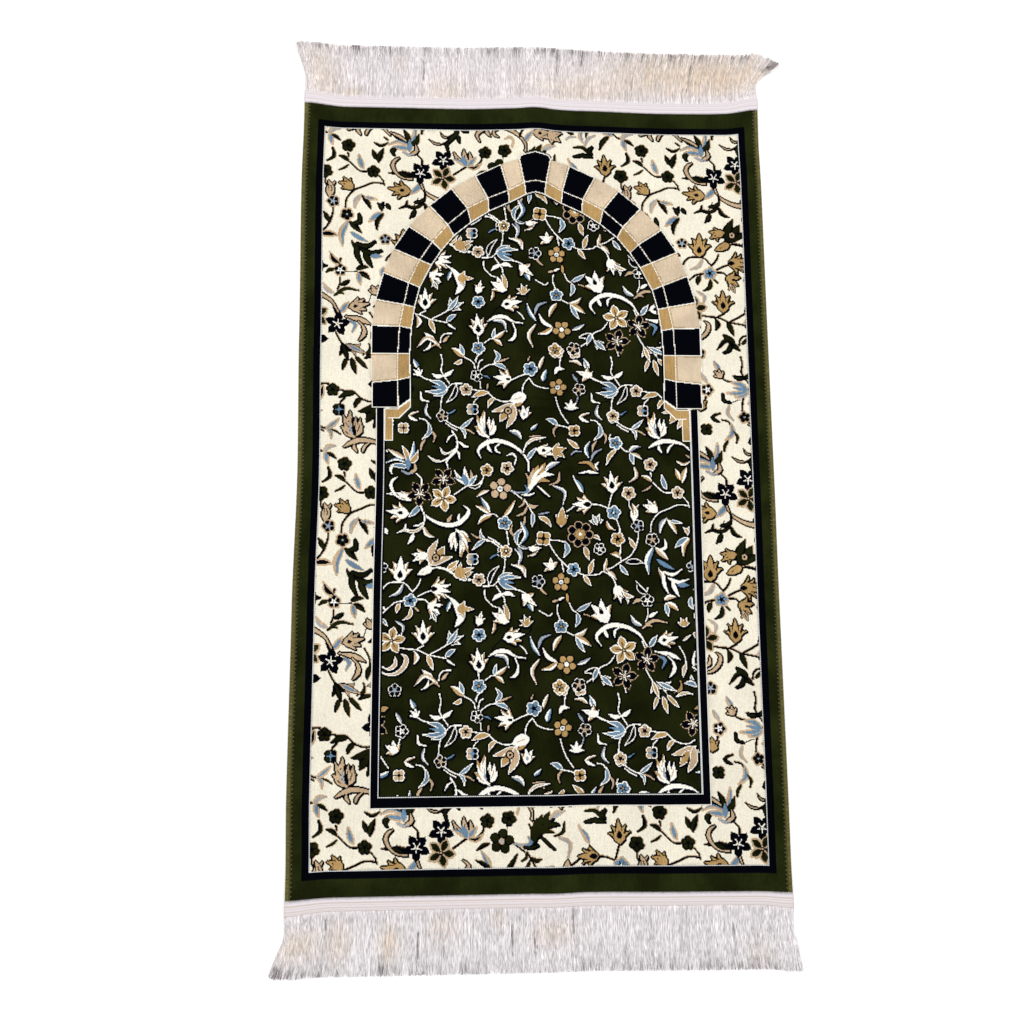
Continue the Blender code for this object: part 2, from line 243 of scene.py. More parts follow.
# the spray that the repeat shows three times: around a blue tulip, with its flowers and leaves;
# a vine is x and y of one point after another
SPRAY_VINES = [
    (-168, 152, -160, 147, -152, 145), (-129, 131, -123, 138, -116, 140, -107, 140),
    (-134, 153, -125, 140), (-131, 130, -136, 118, -138, 102),
    (-91, 131, -80, 129, -71, 127, -65, 122, -60, 118, -50, 114, -40, 114, -32, 119),
    (-84, 119, -89, 114, -91, 108), (-168, 88, -160, 86, -155, 80), (-131, 86, -120, 78, -110, 74),
    (-130, 81, -122, 75, -114, 71), (-137, 183, -135, 172, -137, 160, -134, 153),
]
SPRAY_LEAVES = [
    Leaves(BLUE, AROUND, [
        (-155, 82, -164, 58, 6, 8), (-110, 74, -92, 89, -1, 7), (-110, 75, -103, 60, 3, 6),
        (-128, 132, -153, 144, -3, 9), (-128, 130, -147, 122, 2, 7), (-128, 131, -159, 128, 2, 8),
    ]),
    Leaves(LOTUS, ALONE, [
        (-69, 60, -75, 97, 7, 13), (-72, 62, -87, 77, 2, 8), (-74, 72, -85, 91, 2, 8),
        (-70, 62, -62, 88, -2, 8), (-68, 64, -59, 78, -2, 6), (-69, 62, -68, 90, 1, 7),
    ]),
    Leaves(FLAME, ALONE, [
        (-81, 70, -89, 77, 0, 4), (-82, 83, -86, 93, 0, 4), (-78, 88, -76, 99, 0, 3.5),
    ]),
    Leaves(BEIGE, ALONE, [
        (-152, 71, -148, 54, 4, 4), (-160, 57, -166, 42, -2, 4), (-104, 73, -90, 66, 1, 2.5),
    ]),
    Leaves(BLUE, ALONE, [(-128, 95, -117, 101, -1, 2.5), (-129, 132, -149, 136, 0, 6)]),
    Leaves(GOLD, AROUND, [(-69, 127, -92, 120, -2, 10), (-60, 119, -70, 105, -2, 8)]),
    Leaves(BLUE, RIGHT, [(-170, 163, -176, 175, 0, 8)]),
    Leaves(BLACK, AROUND, [(-115, 138, -129, 112, 4, 9)]),
    Leaves(GREY, RIGHT, [(-157, 109, -152, 88, -5, 5)]),
    Leaves(BLACK, ALONE, [(-69, 63, -72, 81, 1, 8)]),
    Leaves(BODY, LEFT, [(-166, 127, -154, 113, -6, 4)]),
    Leaves(GREY, ALONE, [(-73, 66, -76, 81, 1, 3)]),
    Leaves(BEIGE, RIGHT, [(-184, 92, -170, 98, 1, 4)]),
    Leaves(BODY, AROUND, [
        (-134, 151, -150, 154, 2, 7), (-133, 151, -120, 160, -1, 7), (-184, 92, -171, 85, -1, 5),
    ]),
]
# an open fan beside each spray, and the ringed eye that two of them have
FAN_LEAVES = [
    Leaves(BEIGE, AROUND, [(-31, 110, -64, 99, 2, 14)]),
    Leaves(GOLD, AROUND, [(-40, 104, -53, 84, 0, 15)]),
    Leaves(BEIGE, AROUND, [(-34, 110, -43, 75, 4, 14)]),
    Leaves(BLACK, ALONE, [(-40, 97, -43, 82, 0, 3.5), (-46, 98, -58, 97, 1, 3)]),
]
FAN_EYE = Flower(-41, 100, 12, 1, 0, BLACK, TAN)
SPRAY_BLOOMS = [
    Bloom(-167, 151, 118, 14, 4, 95, 6, LOTUS, None),
]
SPRAY_FLOWERS = [
    Flower(-101, 131, 19, 5, 90, BEIGE, BLACK),
    Flower(-92, 102, 19, 4, 45, BEIGE, BLUE),
    Flower(-135, 92, 18, 5, 100, BLACK, BEIGE),
]
Placing = namedtuple("Placing", "turn x y")
SPRAYS = [
    Placing(0, 0, 0),
    Placing(0, 245.5, -1),
    Placing(180, -184, -12),
]

VINES = [
    # upper left
    (-103, 179, -95, 175, -90, 170, -88, 162), (-80, 160, -75, 164, -68, 168, -60, 170, -54, 180),
    (-84, 163, -82, 172, -77, 176), (-81, 143, -80, 133), (-87, 172, -85, 180, -78, 186),
    (-35, 146, -27, 150, -19, 153, -12, 156), (-10, 149, -18, 139, -20, 128),
    (-10, 149, -3, 139, 6, 135, 17, 133), (-31, 112, -30, 104, -22, 96), (-12, 12, -13, 25, -18, 34),
    # upper right
    (36, 182, 34, 166), (28, 120, 31, 108, 37, 94, 46, 81), (30, 79, 40, 77, 47, 74),
    (80, 150, 90, 145, 97, 142), (120, 48, 126, 42, 134, 40), (106, 66, 103, 58), (162, 10, 163, 4),
    (165, -4, 172, -12, 182, -19, 193, -19), (208, -26, 214, -33, 216, -40),
    (216, -38, 200, -37, 185, -43, 172, -49, 162, -62, 160, -76), (106, -21, 103, -32, 101, -40),
    (78, -36, 88, -37, 99, -41), (42, -46, 52, -39), (130, -30, 131, -40, 136, -46),
    (112, -58, 116, -70, 116, -78), (217, 104, 224, 94, 231, 84), (246, 123, 245, 118, 242, 114),
    # middle left
    (-99, -9, -108, -15, -118, -22), (-99, -9, -90, -11, -79, -2, -76, 8), (-165, -10, -165, 0, -172, 8),
    (-37, -16, -30, -22, -22, -28), (-56, -54, -62, -50, -67, -51), (-18, -30, -12, -40, -8, -48),
    (-166, -36, -162, -48), (-44, -74, -41, -94), (-48, -98, -60, -90, -72, -88),
    (-162, -110, -155, -115, -152, -122), (-150, -126, -142, -126, -130, -129, -119, -135),
    (-217, -158, -211, -149, -200, -146, -186, -148, -175, -160), (-175, -160, -167, -150, -164, -142),
    (-187, -172, -200, -175, -211, -184, -217, -180), (-211, -184, -217, -192, -214, -202),
    (-168, -166, -158, -161, -149, -158), (-168, -170, -158, -171, -152, -176),
    (-109, -143, -100, -144, -90, -143), (-75, -158, -74, -168, -66, -178, -58, -182),
    (-118, -137, -113, -141),
    # middle right
    (17, -87, 30, -88, 37, -90), (17, -94, 24, -106, 33, -117, 42, -126), (33, -117, 36, -132),
    (58, -134, 66, -137, 84, -136, 92, -132, 104, -140, 110, -153),
    (94, -130, 105, -126, 117, -118, 130, -110, 138, -98, 142, -84, 142, -76),
    (117, -96, 116, -110, 118, -118), (152, -162, 154, -155),
    # lower left
    (-192, -237, -180, -239, -168, -240, -155, -246, -143, -249, -128, -252), (-168, -239, -159, -234),
    (-150, -246, -140, -241, -128, -234), (-172, -242, -168, -250),
    (-138, -282, -137, -275, -132, -269, -122, -268), (-84, -270, -83, -280),
    (-74, -282, -66, -276, -60, -276), (-83, -300, -88, -308), (-26, -235, -20, -240, -17, -246),
    # lower right
    (27, -178, 26, -188, 30, -200), (43, -176, 48, -186, 54, -190),
    (0, -186, 8, -191, 15, -194, 19, -190), (40, -217, 48, -221),
    (105, -250, 97, -260, 84, -267, 84, -276), (66, -286, 75, -280),
    (82, -268, 78, -266, 70, -268, 63, -273, 72, -274), (153, -184, 153, -193, 150, -202),
    (144, -230, 150, -243), (196, -237, 203, -250, 205, -262), (148, -268, 152, -276, 157, -284),
    (117, -290, 120, -300),
]

# dark tendrils, seen against the field as a shadow line
TENDRILS = [
    (-154, 113, -145, 117, -140, 118), (91, 112, 104, 115), (-170, -60, -178, -75), (40, 98, 43, 88),
    (30, 155, 31, 147), (-45, 2, -47, 8), (-34, -128, -42, -124),
    (-40, -208, -46, -222, -58, -232, -68, -246), (-10, -210, -14, -218, -26, -222),
    (-83, -206, -83, -212), (-83, -232, -83, -242), (30, -272, 34, -280),
    (198, -210, 194, -222, 186, -226), (160, -176, 178, -175), (16, -112, 18, -100), (2, -60, 5, -74),
    (-30, -120, -28, -117),
]

LEAVES = [
    Leaves(GREY, RIGHT, [
        (-38, 70, -22, 58, 4, 8), (132, 40, 148, 48, 3, 7), (248, 143, 240, 158, 0, 6),
        (12, 14, 32, 25, 2, 8), (22, -9, 36, -37, 11, 5), (183, -56, 173, -77, -3, 7),
        (-62, -248, -42, -265, 8, 6),
    ]),
    Leaves(BLUE, LEFT, [
        (76, 163, 69, 178, -1, 7), (231, 79, 214, 74, 2, 7), (-68, -50, -80, -27, -1, 8),
        (-24, -61, -27, -96, 9, 7), (-127, -186, -122, -172, 0, 6), (163, -98, 156, -136, -5, 10),
        (0, -248, -12, -223, 2, 6),
    ]),
    Leaves(BODY, AROUND, [
        (27, 155, 41, 162, 5, 7), (-182, -29, -214, -21, -3, 7), (-175, -78, -182, -92, 1, 7),
        (-216, -70, -212, -78, 0, 7), (155, -196, 166, -189, 0, 6),
    ]),
    Leaves(GREY, LEFT, [
        (-188, -149, -206, -166, 4, 6), (-198, -200, -190, -221, 7, 4.5), (54, -261, 71, -253, -1, 6),
        (144, -208, 129, -194, 3, 7),
    ]),
    Leaves(BLACK, AROUND, [
        (-98, -10, -78, -4, -4, 7), (124, -119, 149, -120, 2, 10), (153, -164, 138, -146, 3, 10),
    ]),
    Leaves(BEIGE, AROUND, [(205, -261, 200, -280, -1, 8), (190, -306, 213, -303, 3, 6)]),
    Leaves(TAN, ALONE, [(-98, -8, -95, 12, -3, 6), (-182, 9, -175, 23, -5, 6)]),
    Leaves(LOTUS, ALONE, [
        (-15, 123, -38, 114, 0, 20), (-99, -7, -118, 12, 3, 7), (-98, -7, -104, 17, 1, 8),
    ]),
    Leaves(FLAME, ALONE, [(-20, 112, -34, 105, 0, 5), (229, 165, 215, 160, 0, 8)]),
    Leaves(BODY, RIGHT, [(-37, -122, -18, -138, 5, 5)]),
    Leaves(BLACK, ALONE, [(-138, -292, -158, -293, -7, 6)]),
    Leaves(RIM, ALONE, [(58, -10, 51, 5, 0, 3)]),
    Leaves(TAN, RIGHT, [(-189, 29, -213, 43, 0, 8)]),
    Leaves(BLUE, RIGHT, [
        (10, 144, 15, 161, 1, 8), (-8, 72, 1, 80, 0, 6), (74, 32, 76, 55, 5, 6),
        (65, -19, 53, 1, -1, 8), (-98, -9, -118, 2, -1, 7), (-182, 28, -176, 54, -2, 7),
        (-187, 24, -215, 24, -5, 5),
    ]),
    Leaves(GOLD, AROUND, [
        (-107, 176, -118, 170, 2, 8), (60, 45, 44, 58, 0, 9), (114, 44, 99, 21, -3, 8),
        (2, -54, 19, -68, 3, 9), (-184, 24, -193, 48, -2, 9), (-183, 23, -170, 41, -3, 10),
        (-127, -128, -112, -117, 0, 9), (-192, -176, -197, -189, -1, 8),
        (-177, -181, -188, -199, 5, 7), (66, -97, 72, -115, 0, 10), (76, -82, 88, -87, 2, 7),
        (138, -100, 129, -84, 0, 8), (72, -136, 79, -115, 1, 9), (64, -138, 74, -152, 0, 8),
        (202, -229, 213, -221, 0, 4), (164, -305, 158, -323, 0, 7), (171, -306, 177, -329, 0, 9),
        (177, -304, 193, -321, 0, 8), (-154, -247, -146, -267, 0, 9),
    ]),
    Leaves(BEIGE, ALONE, [
        (-55, 172, -40, 178, 0, 3.5), (-71, 132, -70, 139, 0, 3), (-12, 174, -9, 180, 0, 2.5),
        (-10, 62, 14, 61, 1, 3.5), (2, 62, 5, 55, 0, 3), (30, 78, 26, 62, -4, 3.5),
        (163, -9, 150, -17, 1, 3), (220, 31, 214, 36, 0, 2.5), (-12, -12, -16, 8, -3, 5),
        (-8, -10, -5, 15, 2, 7), (32, 10, 18, -8, 6, 4), (-19, -28, -26, -40, 3, 3),
        (-14, -38, -30, -53, 4, 4), (-12, -36, 0, -38, -3, 6), (-128, -62, -122, -52, 0, 6),
        (-172, -181, -166, -187, 0, 4), (-30, -122, -20, -137, 6, 3), (2, -154, 12, -164, -1, 4),
        (146, -172, 133, -177, -2, 6), (63, -192, 73, -196, 1, 2.5), (145, -212, 180, -204, 7, 5),
        (150, -205, 158, -209, 0, 4), (-134, -281, -126, -272, 0, 5),
    ]),
    Leaves(GOLD, ALONE, [
        (83, 13, 60, 24, -6, 6), (-2, -2, 2, 20, 2, 9), (4, 6, 12, 24, 1, 8), (-6, -6, 18, -3, 4, 7),
        (40, -164, 41, -175, 0, 5), (187, -301, 196, -284, -6, 5),
    ]),
    Leaves(BLUE, AROUND, [
        (-77, 190, -92, 190, 0, 10), (-60, 171, -60, 190, -6, 8), (-60, 169, -41, 160, 2, 8),
        (-14, 28, 0, 46, 1, 8), (30, 79, 14, 88, -2, 9), (134, 39, 138, 22, 0, 9),
        (184, -14, 178, 7, 1, 9), (-166, -37, -182, -54, 1, 10), (-184, 17, -209, 20, -1, 9),
        (-7, -48, -8, -68, 1, 8), (-217, -196, -209, -207, 0, 6), (38, -89, 36, -112, 5, 9),
        (116, -123, 127, -137, -1, 8), (213, -84, 194, -98, -1, 10), (215, -168, 218, -186, -3, 8),
        (54, -187, 73, -176, -1, 8), (54, -190, 51, -210, 3, 8), (81, -267, 74, -284, 0, 8),
        (154, -238, 165, -222, 0, 9), (-129, -250, -115, -239, 1, 9), (-62, -275, -59, -260, 0, 7),
    ]),
    Leaves(BEIGE, LEFT, [
        (-104, 180, -117, 190, 0, 9), (66, 168, 49, 174, -3, 6), (136, 38, 150, 30, 1, 6),
        (139, 18, 131, -4, 7, 5.5), (200, 27, 220, 27, -5, 4.5), (-161, -68, -146, -83, -4, 7),
        (98, -131, 110, -143, 1, 6), (0, -254, -4, -288, -8, 6),
    ]),
    Leaves(BODY, ALONE, [
        (86, 9, 60, 9, -2, 4.5), (88, 25, 87, 14, -4, 4), (-2, 0, 24, 7, 3, 7), (-8, -8, 8, 18, 3, 6),
        (-18, -23, 16, 15, 2, 8), (-22, -22, -4, -20, -2, 4), (1, -10, 17, -25, 0, 3.5),
        (-205, 20, -207, 8, -3, 5), (-216, -180, -212, -184, 0, 3), (176, -132, 203, -129, -6, 5),
        (183, -141, 212, -143, -5, 6), (188, -144, 198, -167, -1, 7), (27, -172, 36, -168, 0, 4),
        (25, -258, 5, -238, 4, 6), (218, -244, 216, -271, -2, 4), (-127, -254, -117, -261, 0, 4),
        (-147, -276, -160, -268, 1, 7),
    ]),
    Leaves(BEIGE, RIGHT, [
        (5, 163, 12, 181, 1, 6), (-175, -25, -193, -18, 1, 7), (-70, -16, -86, -25, -1, 6),
        (166, -98, 184, -115, 0, 9), (170, -128, 180, -154, 1, 6), (177, -172, 193, -168, 2, 8),
        (50, -221, 67, -212, -3, 7), (-171, -243, -172, -259, 3, 8), (-140, -285, -171, -289, -12, 7),
    ]),
    Leaves(GOLD, LEFT, [
        (163, -3, 149, 5, -2, 7), (204, 0, 198, 15, 0, 8), (207, -4, 214, 18, 1, 9),
        (-66, -52, -84, -64, -3, 8), (-48, -54, -32, -31, -1, 7), (-62, -202, -65, -218, 2, 5),
        (185, -58, 197, -78, 1, 8), (215, -85, 206, -110, -4, 8), (52, -223, 72, -236, 1, 9),
        (31, -222, 20, -242, -2, 8), (-105, -302, -122, -290, -1, 9),
    ]),
    Leaves(GOLD, RIGHT, [
        (-67, -50, -88, -38, -1, 7), (98, -61, 109, -73, -3, 6), (116, -112, 103, -107, -2, 8),
        (93, -132, 97, -114, 0, 6), (180, -177, 196, -187, 2, 9), (25, -258, 4, -268, 3, 8),
        (-60, -275, -45, -264, -1, 7), (-60, -277, -49, -286, 1, 7),
    ]),
    Leaves(BLUE, ALONE, [
        (-76, 152, -67, 148, 1, 3), (-98, -9, -106, 8, 1, 10), (-184, 14, -184, 32, 0, 8),
        (-21, -20, -17, -9, -6, 5), (168, -115, 192, -129, -1, 7), (197, -152, 212, -152, 1, 8),
        (165, -250, 171, -267, 8, 5),
    ]),
    Leaves(GREY, ALONE, [
        (60, 143, 53, 154, 0, 4), (60, 121, 58, 113, 0, 2.5), (49, 36, 63, 40, 3, 2.5),
        (77, 27, 93, 44, 4, 4), (16, -48, 2, -50, 0, 2.5), (-193, 12, -177, 8, -2, 4),
        (-39, -17, -20, -19, -1, 3), (-28, -98, -24, -117, 3, 4), (-24, -95, -14, -99, 0, 2),
        (-1, -238, 16, -220, 5, 5),
    ]),
    Leaves(BLUE, AROUND, [
        (-98, -9, -86, 6, 0, 8), (187, -60, 205, -63, 0, 6), (179, -177, 182, -195, 0, 8),
        (52, -224, 64, -245, -1, 8), (-104, -300, -110, -284, 0, 8),
    ]),
    Leaves(BEIGE, ALONE, [(20, -174, 28, -172, 0, 4), (-137, -290, -151, -288, -4, 3)]),
    Leaves(BODY, ALONE, [
        (170, -102, 180, -86, -7, 5), (177, -132, 183, -163, -3, 6), (-152, -282, -161, -294, 3, 4),
    ]),
]

# long curls that swell towards their rolled-up end: width, fill, and the way they run
Scroll = namedtuple("Scroll", "width fill points")
SCROLLS = [
    Scroll(8, LOTUS, (-12, 14, -12, 25, -20, 37, -33, 48, -50, 55, -66, 55, -78, 49, -84, 41, -80, 30)),
    Scroll(5.5, LOTUS, (-71, 57, -70, 47, -65, 39)),
    Scroll(4.5, LOTUS, (-54, 51, -59, 46, -58, 41, -53, 38)),
    Scroll(8, LOTUS, (-167, -36, -163, -46, -155, -55, -140, -63, -125, -66, -110, -62, -100, -52,
        -98, -44, -105, -38)),
    Scroll(4.5, LOTUS, (-106, -62, -112, -57, -111, -50)),
    Scroll(6, GOLD, (-161, -48, -160, -60, -165, -70, -176, -75, -188, -73, -198, -77)),
    Scroll(3.4, BEIGE, (-182, -74, -187, -71, -186, -64)),
    Scroll(3.6, BODY, (-162, -62, -168, -66, -175, -67)),
    Scroll(8, LOTUS, (153, -240, 148, -232, 142, -222, 130, -213, 115, -208, 100, -208, 88, -214,
        80, -224, 87, -236)),
    Scroll(5.5, LOTUS, (93, -210, 93, -218, 97, -225)),
    Scroll(4.5, LOTUS, (112, -211, 106, -216, 106, -224)),
    Scroll(8, LOTUS, (222, 40, 212, 50, 198, 55, 182, 56, 170, 52, 160, 46)),
    Scroll(5, LOTUS, (176, 54, 175, 46, 179, 39)),
    Scroll(4.5, LOTUS, (197, 53, 190, 47, 187, 39)),
    Scroll(5.6, LOTUS, (-180, -30, -192, -29, -202, -22, -208, -11, -206, -2, -199, 3)),
    Scroll(7, BODY, (-19, -252, -32, -250, -44, -243, -58, -243, -70, -250)),
    Scroll(6, BODY, (-33, -252, -29, -264, -32, -275, -40, -279)),
    Scroll(8, LOTUS, (162, -244, 172, -246, 184, -249, 197, -255)),
    Scroll(6.5, LOTUS, (180, -251, 187, -259, 188, -270, 181, -280)),
    Scroll(8, TAN, (-217, -262, -207, -266, -198, -260, -198, -249)),
    Scroll(9, TAN, (-222, -266, -210, -273, -196, -272, -185, -262, -183, -251, -190, -245)),
    # the white branch with curls to both sides
    Scroll(5.0, BODY, (-122, 70, -116, 62, -114, 52, -116, 42, -123, 34, -129, 26, -127, 15)),
    Scroll(3.6, BODY, (-119, 65, -125, 61, -129, 54)),
    Scroll(4.6, TAN, (-117, 44, -126, 38, -134, 38, -139, 46)),
    Scroll(4.6, TAN, (-127, 31, -136, 26, -147, 27, -156, 34)),
    Scroll(4.5, BODY, (-115, 54, -110, 53, -104, 48, -97, 47)),
    Scroll(4.0, BODY, (-116, 43, -112, 38, -111, 29)),
    Scroll(3.6, GREY, (-32, 22, -30, 31, -35, 37, -43, 34)),
    # dark tails of the brown curls
    Scroll(6, BEIGE, (-20, 38, -15, 50, -5, 58, 13, 61)),
    Scroll(14, LOTUS, (-130, -164, -119, -172, -111, -184, -108, -196, -116, -209)),
    Scroll(2.4, BLACK, (-124, -168, -116, -175, -110, -186, -108, -196)),
]

BLOOMS = [
    # upper left
    Bloom(-36, 146, 170, 26, 5, 120, 8, LOTUS, (0.16, 3, BLACK)),
    Bloom(-19, 88, 78, 22, 4, 80, 8, LOTUS, (0.3, 2.5, GREY)),
    Bloom(0, 43, -6, 26, 4, 70, 11, LOTUS, (0.38, 3, BLACK)),
    Bloom(22, 42, -10, 22, 4, 120, 10, FLAME, None),
    # upper right
    Bloom(241, 104, 125, 19, 4, 120, 9, AMBER, None),
    Bloom(78, 152, 160, 20, 3, 110, 8, LOTUS, None),
    Bloom(50, 102, 90, 15, 5, 150, 6, LOTUS, None),
    Bloom(107, -20, 94, 31, 5, 90, 9, AMBER, (0.36, 5, BLACK)),
    Bloom(77, -36, 180, 27, 5, 100, 9, AMBER, (0.22, 5, BLACK)),
    Bloom(170, -47, 140, 24, 4, 80, 10, AMBER, None),
    Bloom(136, -60, 82, 24, 2, 20, 9, LOTUS, None),
    Bloom(33, -68, 85, 28, 3, 55, 13, FLAME, None),
    Bloom(84, -66, 95, 18, 4, 110, 8, GREY, None),
    # middle
    Bloom(-182, -50, 172, 32, 5, 85, 9, AMBER, (0.38, 3.5, BLACK)),
    Bloom(-155, -108, 190, 24, 4, 80, 9, AMBER, None),
    Bloom(-193, -146, 88, 36, 5, 84, 11, AMBER, (0.28, 5, BLACK)),
    Bloom(-148, -126, 205, 22, 3, 40, 12, AMBER, None),
    Bloom(-118, -136, 20, 30, 3, 80, 9, FLAME, None),
    Bloom(-150, -156, 2, 30, 6, 110, 8, AMBER, (0.14, 4.5, BLACK)),
    Bloom(-153, -178, -20, 22, 4, 120, 8, AMBER, (0.5, 3, BLACK)),
    Bloom(-148, -188, -65, 14, 3, 80, 6, BLACK, None),
    Bloom(-114, -184, 0, 24, 3, 90, 9, FLAME, None),
    Bloom(-22, -164, -40, 24, 3, 90, 8, LOTUS, None),
    Bloom(-12, -100, 5, 16, 3, 60, 7, LOTUS, None),
    Bloom(21, -128, 125, 18, 4, 140, 7, LOTUS, None),
    Bloom(108, -152, -60, 28, 4, 70, 8, LOTUS, None),
    Bloom(118, -160, -45, 18, 2, 40, 8, BEIGE, None),
    Bloom(213, -80, 100, 12, 2, 40, 8, GOLD, None),
    # lower
    Bloom(-160, -232, 90, 32, 5, 90, 9, AMBER, (0.32, 5, BLACK)),
    Bloom(-128, -234, 42, 30, 4, 75, 9, BLUE, None),
    Bloom(-84, -207, 75, 20, 3, 60, 7, LOTUS, None),
    Bloom(-44, -204, 130, 28, 4, 85, 10, LOTUS, None),
    Bloom(-42, -202, 100, 26, 1, 0, 9, FLAME, None),
    Bloom(-15, -208, 110, 16, 5, 130, 6, FLAME, None),
    Bloom(-49, -225, 12, 30, 5, 80, 9, LOTUS, (0.26, 3.5, BLACK)),
    Bloom(-82, -271, 96, 32, 5, 78, 10, LOTUS, (0.3, 5, BLACK)),
    Bloom(96, -204, 118, 38, 4, 80, 12, LOTUS, (0.45, 4, BLACK)),
    Bloom(167, -230, 12, 28, 5, 80, 9, LOTUS, (0.3, 3, BLACK)),
    Bloom(203, -210, 88, 15, 4, 110, 7, FLAME, None),
    Bloom(85, -277, -42, 22, 3, 60, 9, BLUE, None),
    Bloom(219, -293, 140, 18, 2, 50, 9, BLUE, None),
    Bloom(157, -284, -70, 26, 3, 60, 8, GOLD, None),
    Bloom(163, -286, -25, 30, 3, 50, 8, BLUE, None),
]

FLOWERS = [
    Flower(-86, 152, 18, 5, 60, BLACK, VINE),
    Flower(248, 133, 19, 5, 70, BLACK, HEART),
    Flower(-8, 162, 22, 5, 70, BLUE, BLACK),
    Flower(62, 132, 19, 5, 45, BLACK, BEIGE),
    Flower(31, 188, 20, 5, 90, GOLD, GREY),
    Flower(54, 71, 19, 4, 50, GOLD, BLACK),
    Flower(56, 187, 19, 5, 30, BEIGE, BLACK),
    Flower(113, 53, 20, 5, 70, BLUE, GOLD),
    Flower(110, 93, 19, 5, 90, BEIGE, BLACK),
    Flower(162, 22, 20, 5, 80, BEIGE, BLACK),
    Flower(200, -19, 19, 5, 90, BEIGE, BLACK),
    Flower(130, -20, 21, 5, 50, BEIGE, BLACK),
    Flower(108, -48, 21, 5, 80, BLUE, HEART),
    Flower(-191, 74, 18, 4, 45, BEIGE, BLACK),
    Flower(-72, 13, 19, 5, 10, GOLD, BLACK),
    Flower(-43, 16, 20, 5, 60, BEIGE, BLACK),
    Flower(-47, -63, 21, 5, 80, BLUE, GOLD),
    Flower(-45, -103, 18, 5, 90, GOLD, HEART),
    Flower(-218, -125, 17, 5, 90, BLACK, GREY),
    Flower(-178, -172, 20, 5, 80, BLUE, BLACK),
    Flower(8, -85, 23, 4, 40, GOLD, BLACK),
    Flower(50, -129, 20, 5, 60, BLUE, BLACK),
    Flower(0, -146, 20, 5, 70, BLACK, GREY),
    Flower(113, -86, 21, 5, 60, GOLD, BLACK),
    Flower(87, -100, 18, 5, 60, BLACK, RIM),
    Flower(142, -67, 19, 5, 40, BLACK, GREY),
    Flower(162, -87, 20, 5, 60, BLACK, BEIGE),
    Flower(153, -173, 19, 5, 90, BLACK, HEART),
    Flower(31, -209, 20, 5, 90, BLUE, GOLD),
    Flower(28, -292, 21, 5, 90, GOLD, GREY),
    Flower(55, -290, 20, 5, 45, BLACK, BEIGE),
    Flower(-83, -220, 20, 5, 55, BLUE, BLACK),
    Flower(-83, -290, 20, 5, 60, BLUE, GOLD),
    Flower(-198, -295, 19, 5, 90, BLACK, GREY),
]
# the larger flowers whose five round petals stand apart on a dark ring
ROUND_FLOWERS = [
    Flower(31, 135, 25, 5, 75, GOLD, BLUE),
    Flower(-53, -14, 31, 5, 80, BEIGE, GREY),
    Flower(32, -147, 25, 5, 88, GOLD, GREY),
    Flower(38, -261, 26, 5, -90, GOLD, HEART),
    Flower(60, -79, 38, 7, 100, BLACK, GOLD),
]
STARS = [
    Star(212, 140, 36, 115, BLACK, STAR_RIM),
    Star(-167, -21, 37, 50, BLACK, STAR_RIM),
    Star(-134, 0, 36, 55, BLACK, STAR_RIM),
    Star(-134, -28, 38, 66, GOLD, RIM),
    Star(-203, -227, 38, 82, GOLD, RIM),
    Star(150, -255, 37, 82, BLACK, STAR_RIM),
    Star(118, -242, 39, 30, GOLD, RIM),
    Star(118, -278, 38, 74, BLACK, STAR_RIM),
]


class Cartoon:
    """One repeat of the design: a role for each knot, painted over its edges and round again."""

    def __init__(self):
        self.roles = np.full((REPEAT_ROWS, REPEAT_COLUMNS), GROUND, np.int8)

    def window(self, points, reach):
        """The knots around some points: their places in the repeat, and in millimetres."""
        low = np.min(points, axis=0) - reach
        high = np.max(points, axis=0) + reach
        columns = np.arange(math.floor(low[0] / KNOT_WIDTH), math.ceil(high[0] / KNOT_WIDTH))
        rows = np.arange(math.floor(low[1] / KNOT_LENGTH), math.ceil(high[1] / KNOT_LENGTH))
        x, y = np.meshgrid((columns + 0.5) * KNOT_WIDTH, (rows + 0.5) * KNOT_LENGTH)
        return np.ix_(rows % REPEAT_ROWS, columns % REPEAT_COLUMNS), x, y

    def around(self, motif, reach):
        """The knots around a motif's middle: their places, and how far right and up they lie."""
        knots, x, y = self.window([(motif.x, motif.y)], reach)
        return knots, x - motif.x, y - motif.y

    def paint(self, knots, layers):
        """Lay layers of (where, role) over a window's knots."""
        block = self.roles[knots]
        for where, role in layers:
            block[where] = role
        self.roles[knots] = block


def curve_through(points, steps):
    """A smooth line through given points, as a Catmull-Rom curve."""
    points = np.reshape(np.asarray(points, float), (-1, 2))
    before = 2 * points[:1] - points[1:2]
    after = 2 * points[-1:] - points[-2:-1]
    p = np.concatenate([before, points, after])
    t = np.linspace(0.0, 1.0, steps, endpoint=False)[None, :, None]
    p0, p1, p2, p3 = (p[k:len(p) - 3 + k, None, :] for k in range(4))
    line = 0.5 * (2 * p1 + (p2 - p0) * t + (2 * p0 - 5 * p1 + 4 * p2 - p3) * t ** 2
                  + (3 * p1 - p0 - 3 * p2 + p3) * t ** 3)
    return np.concatenate([line.reshape(-1, 2), points[-1:]])


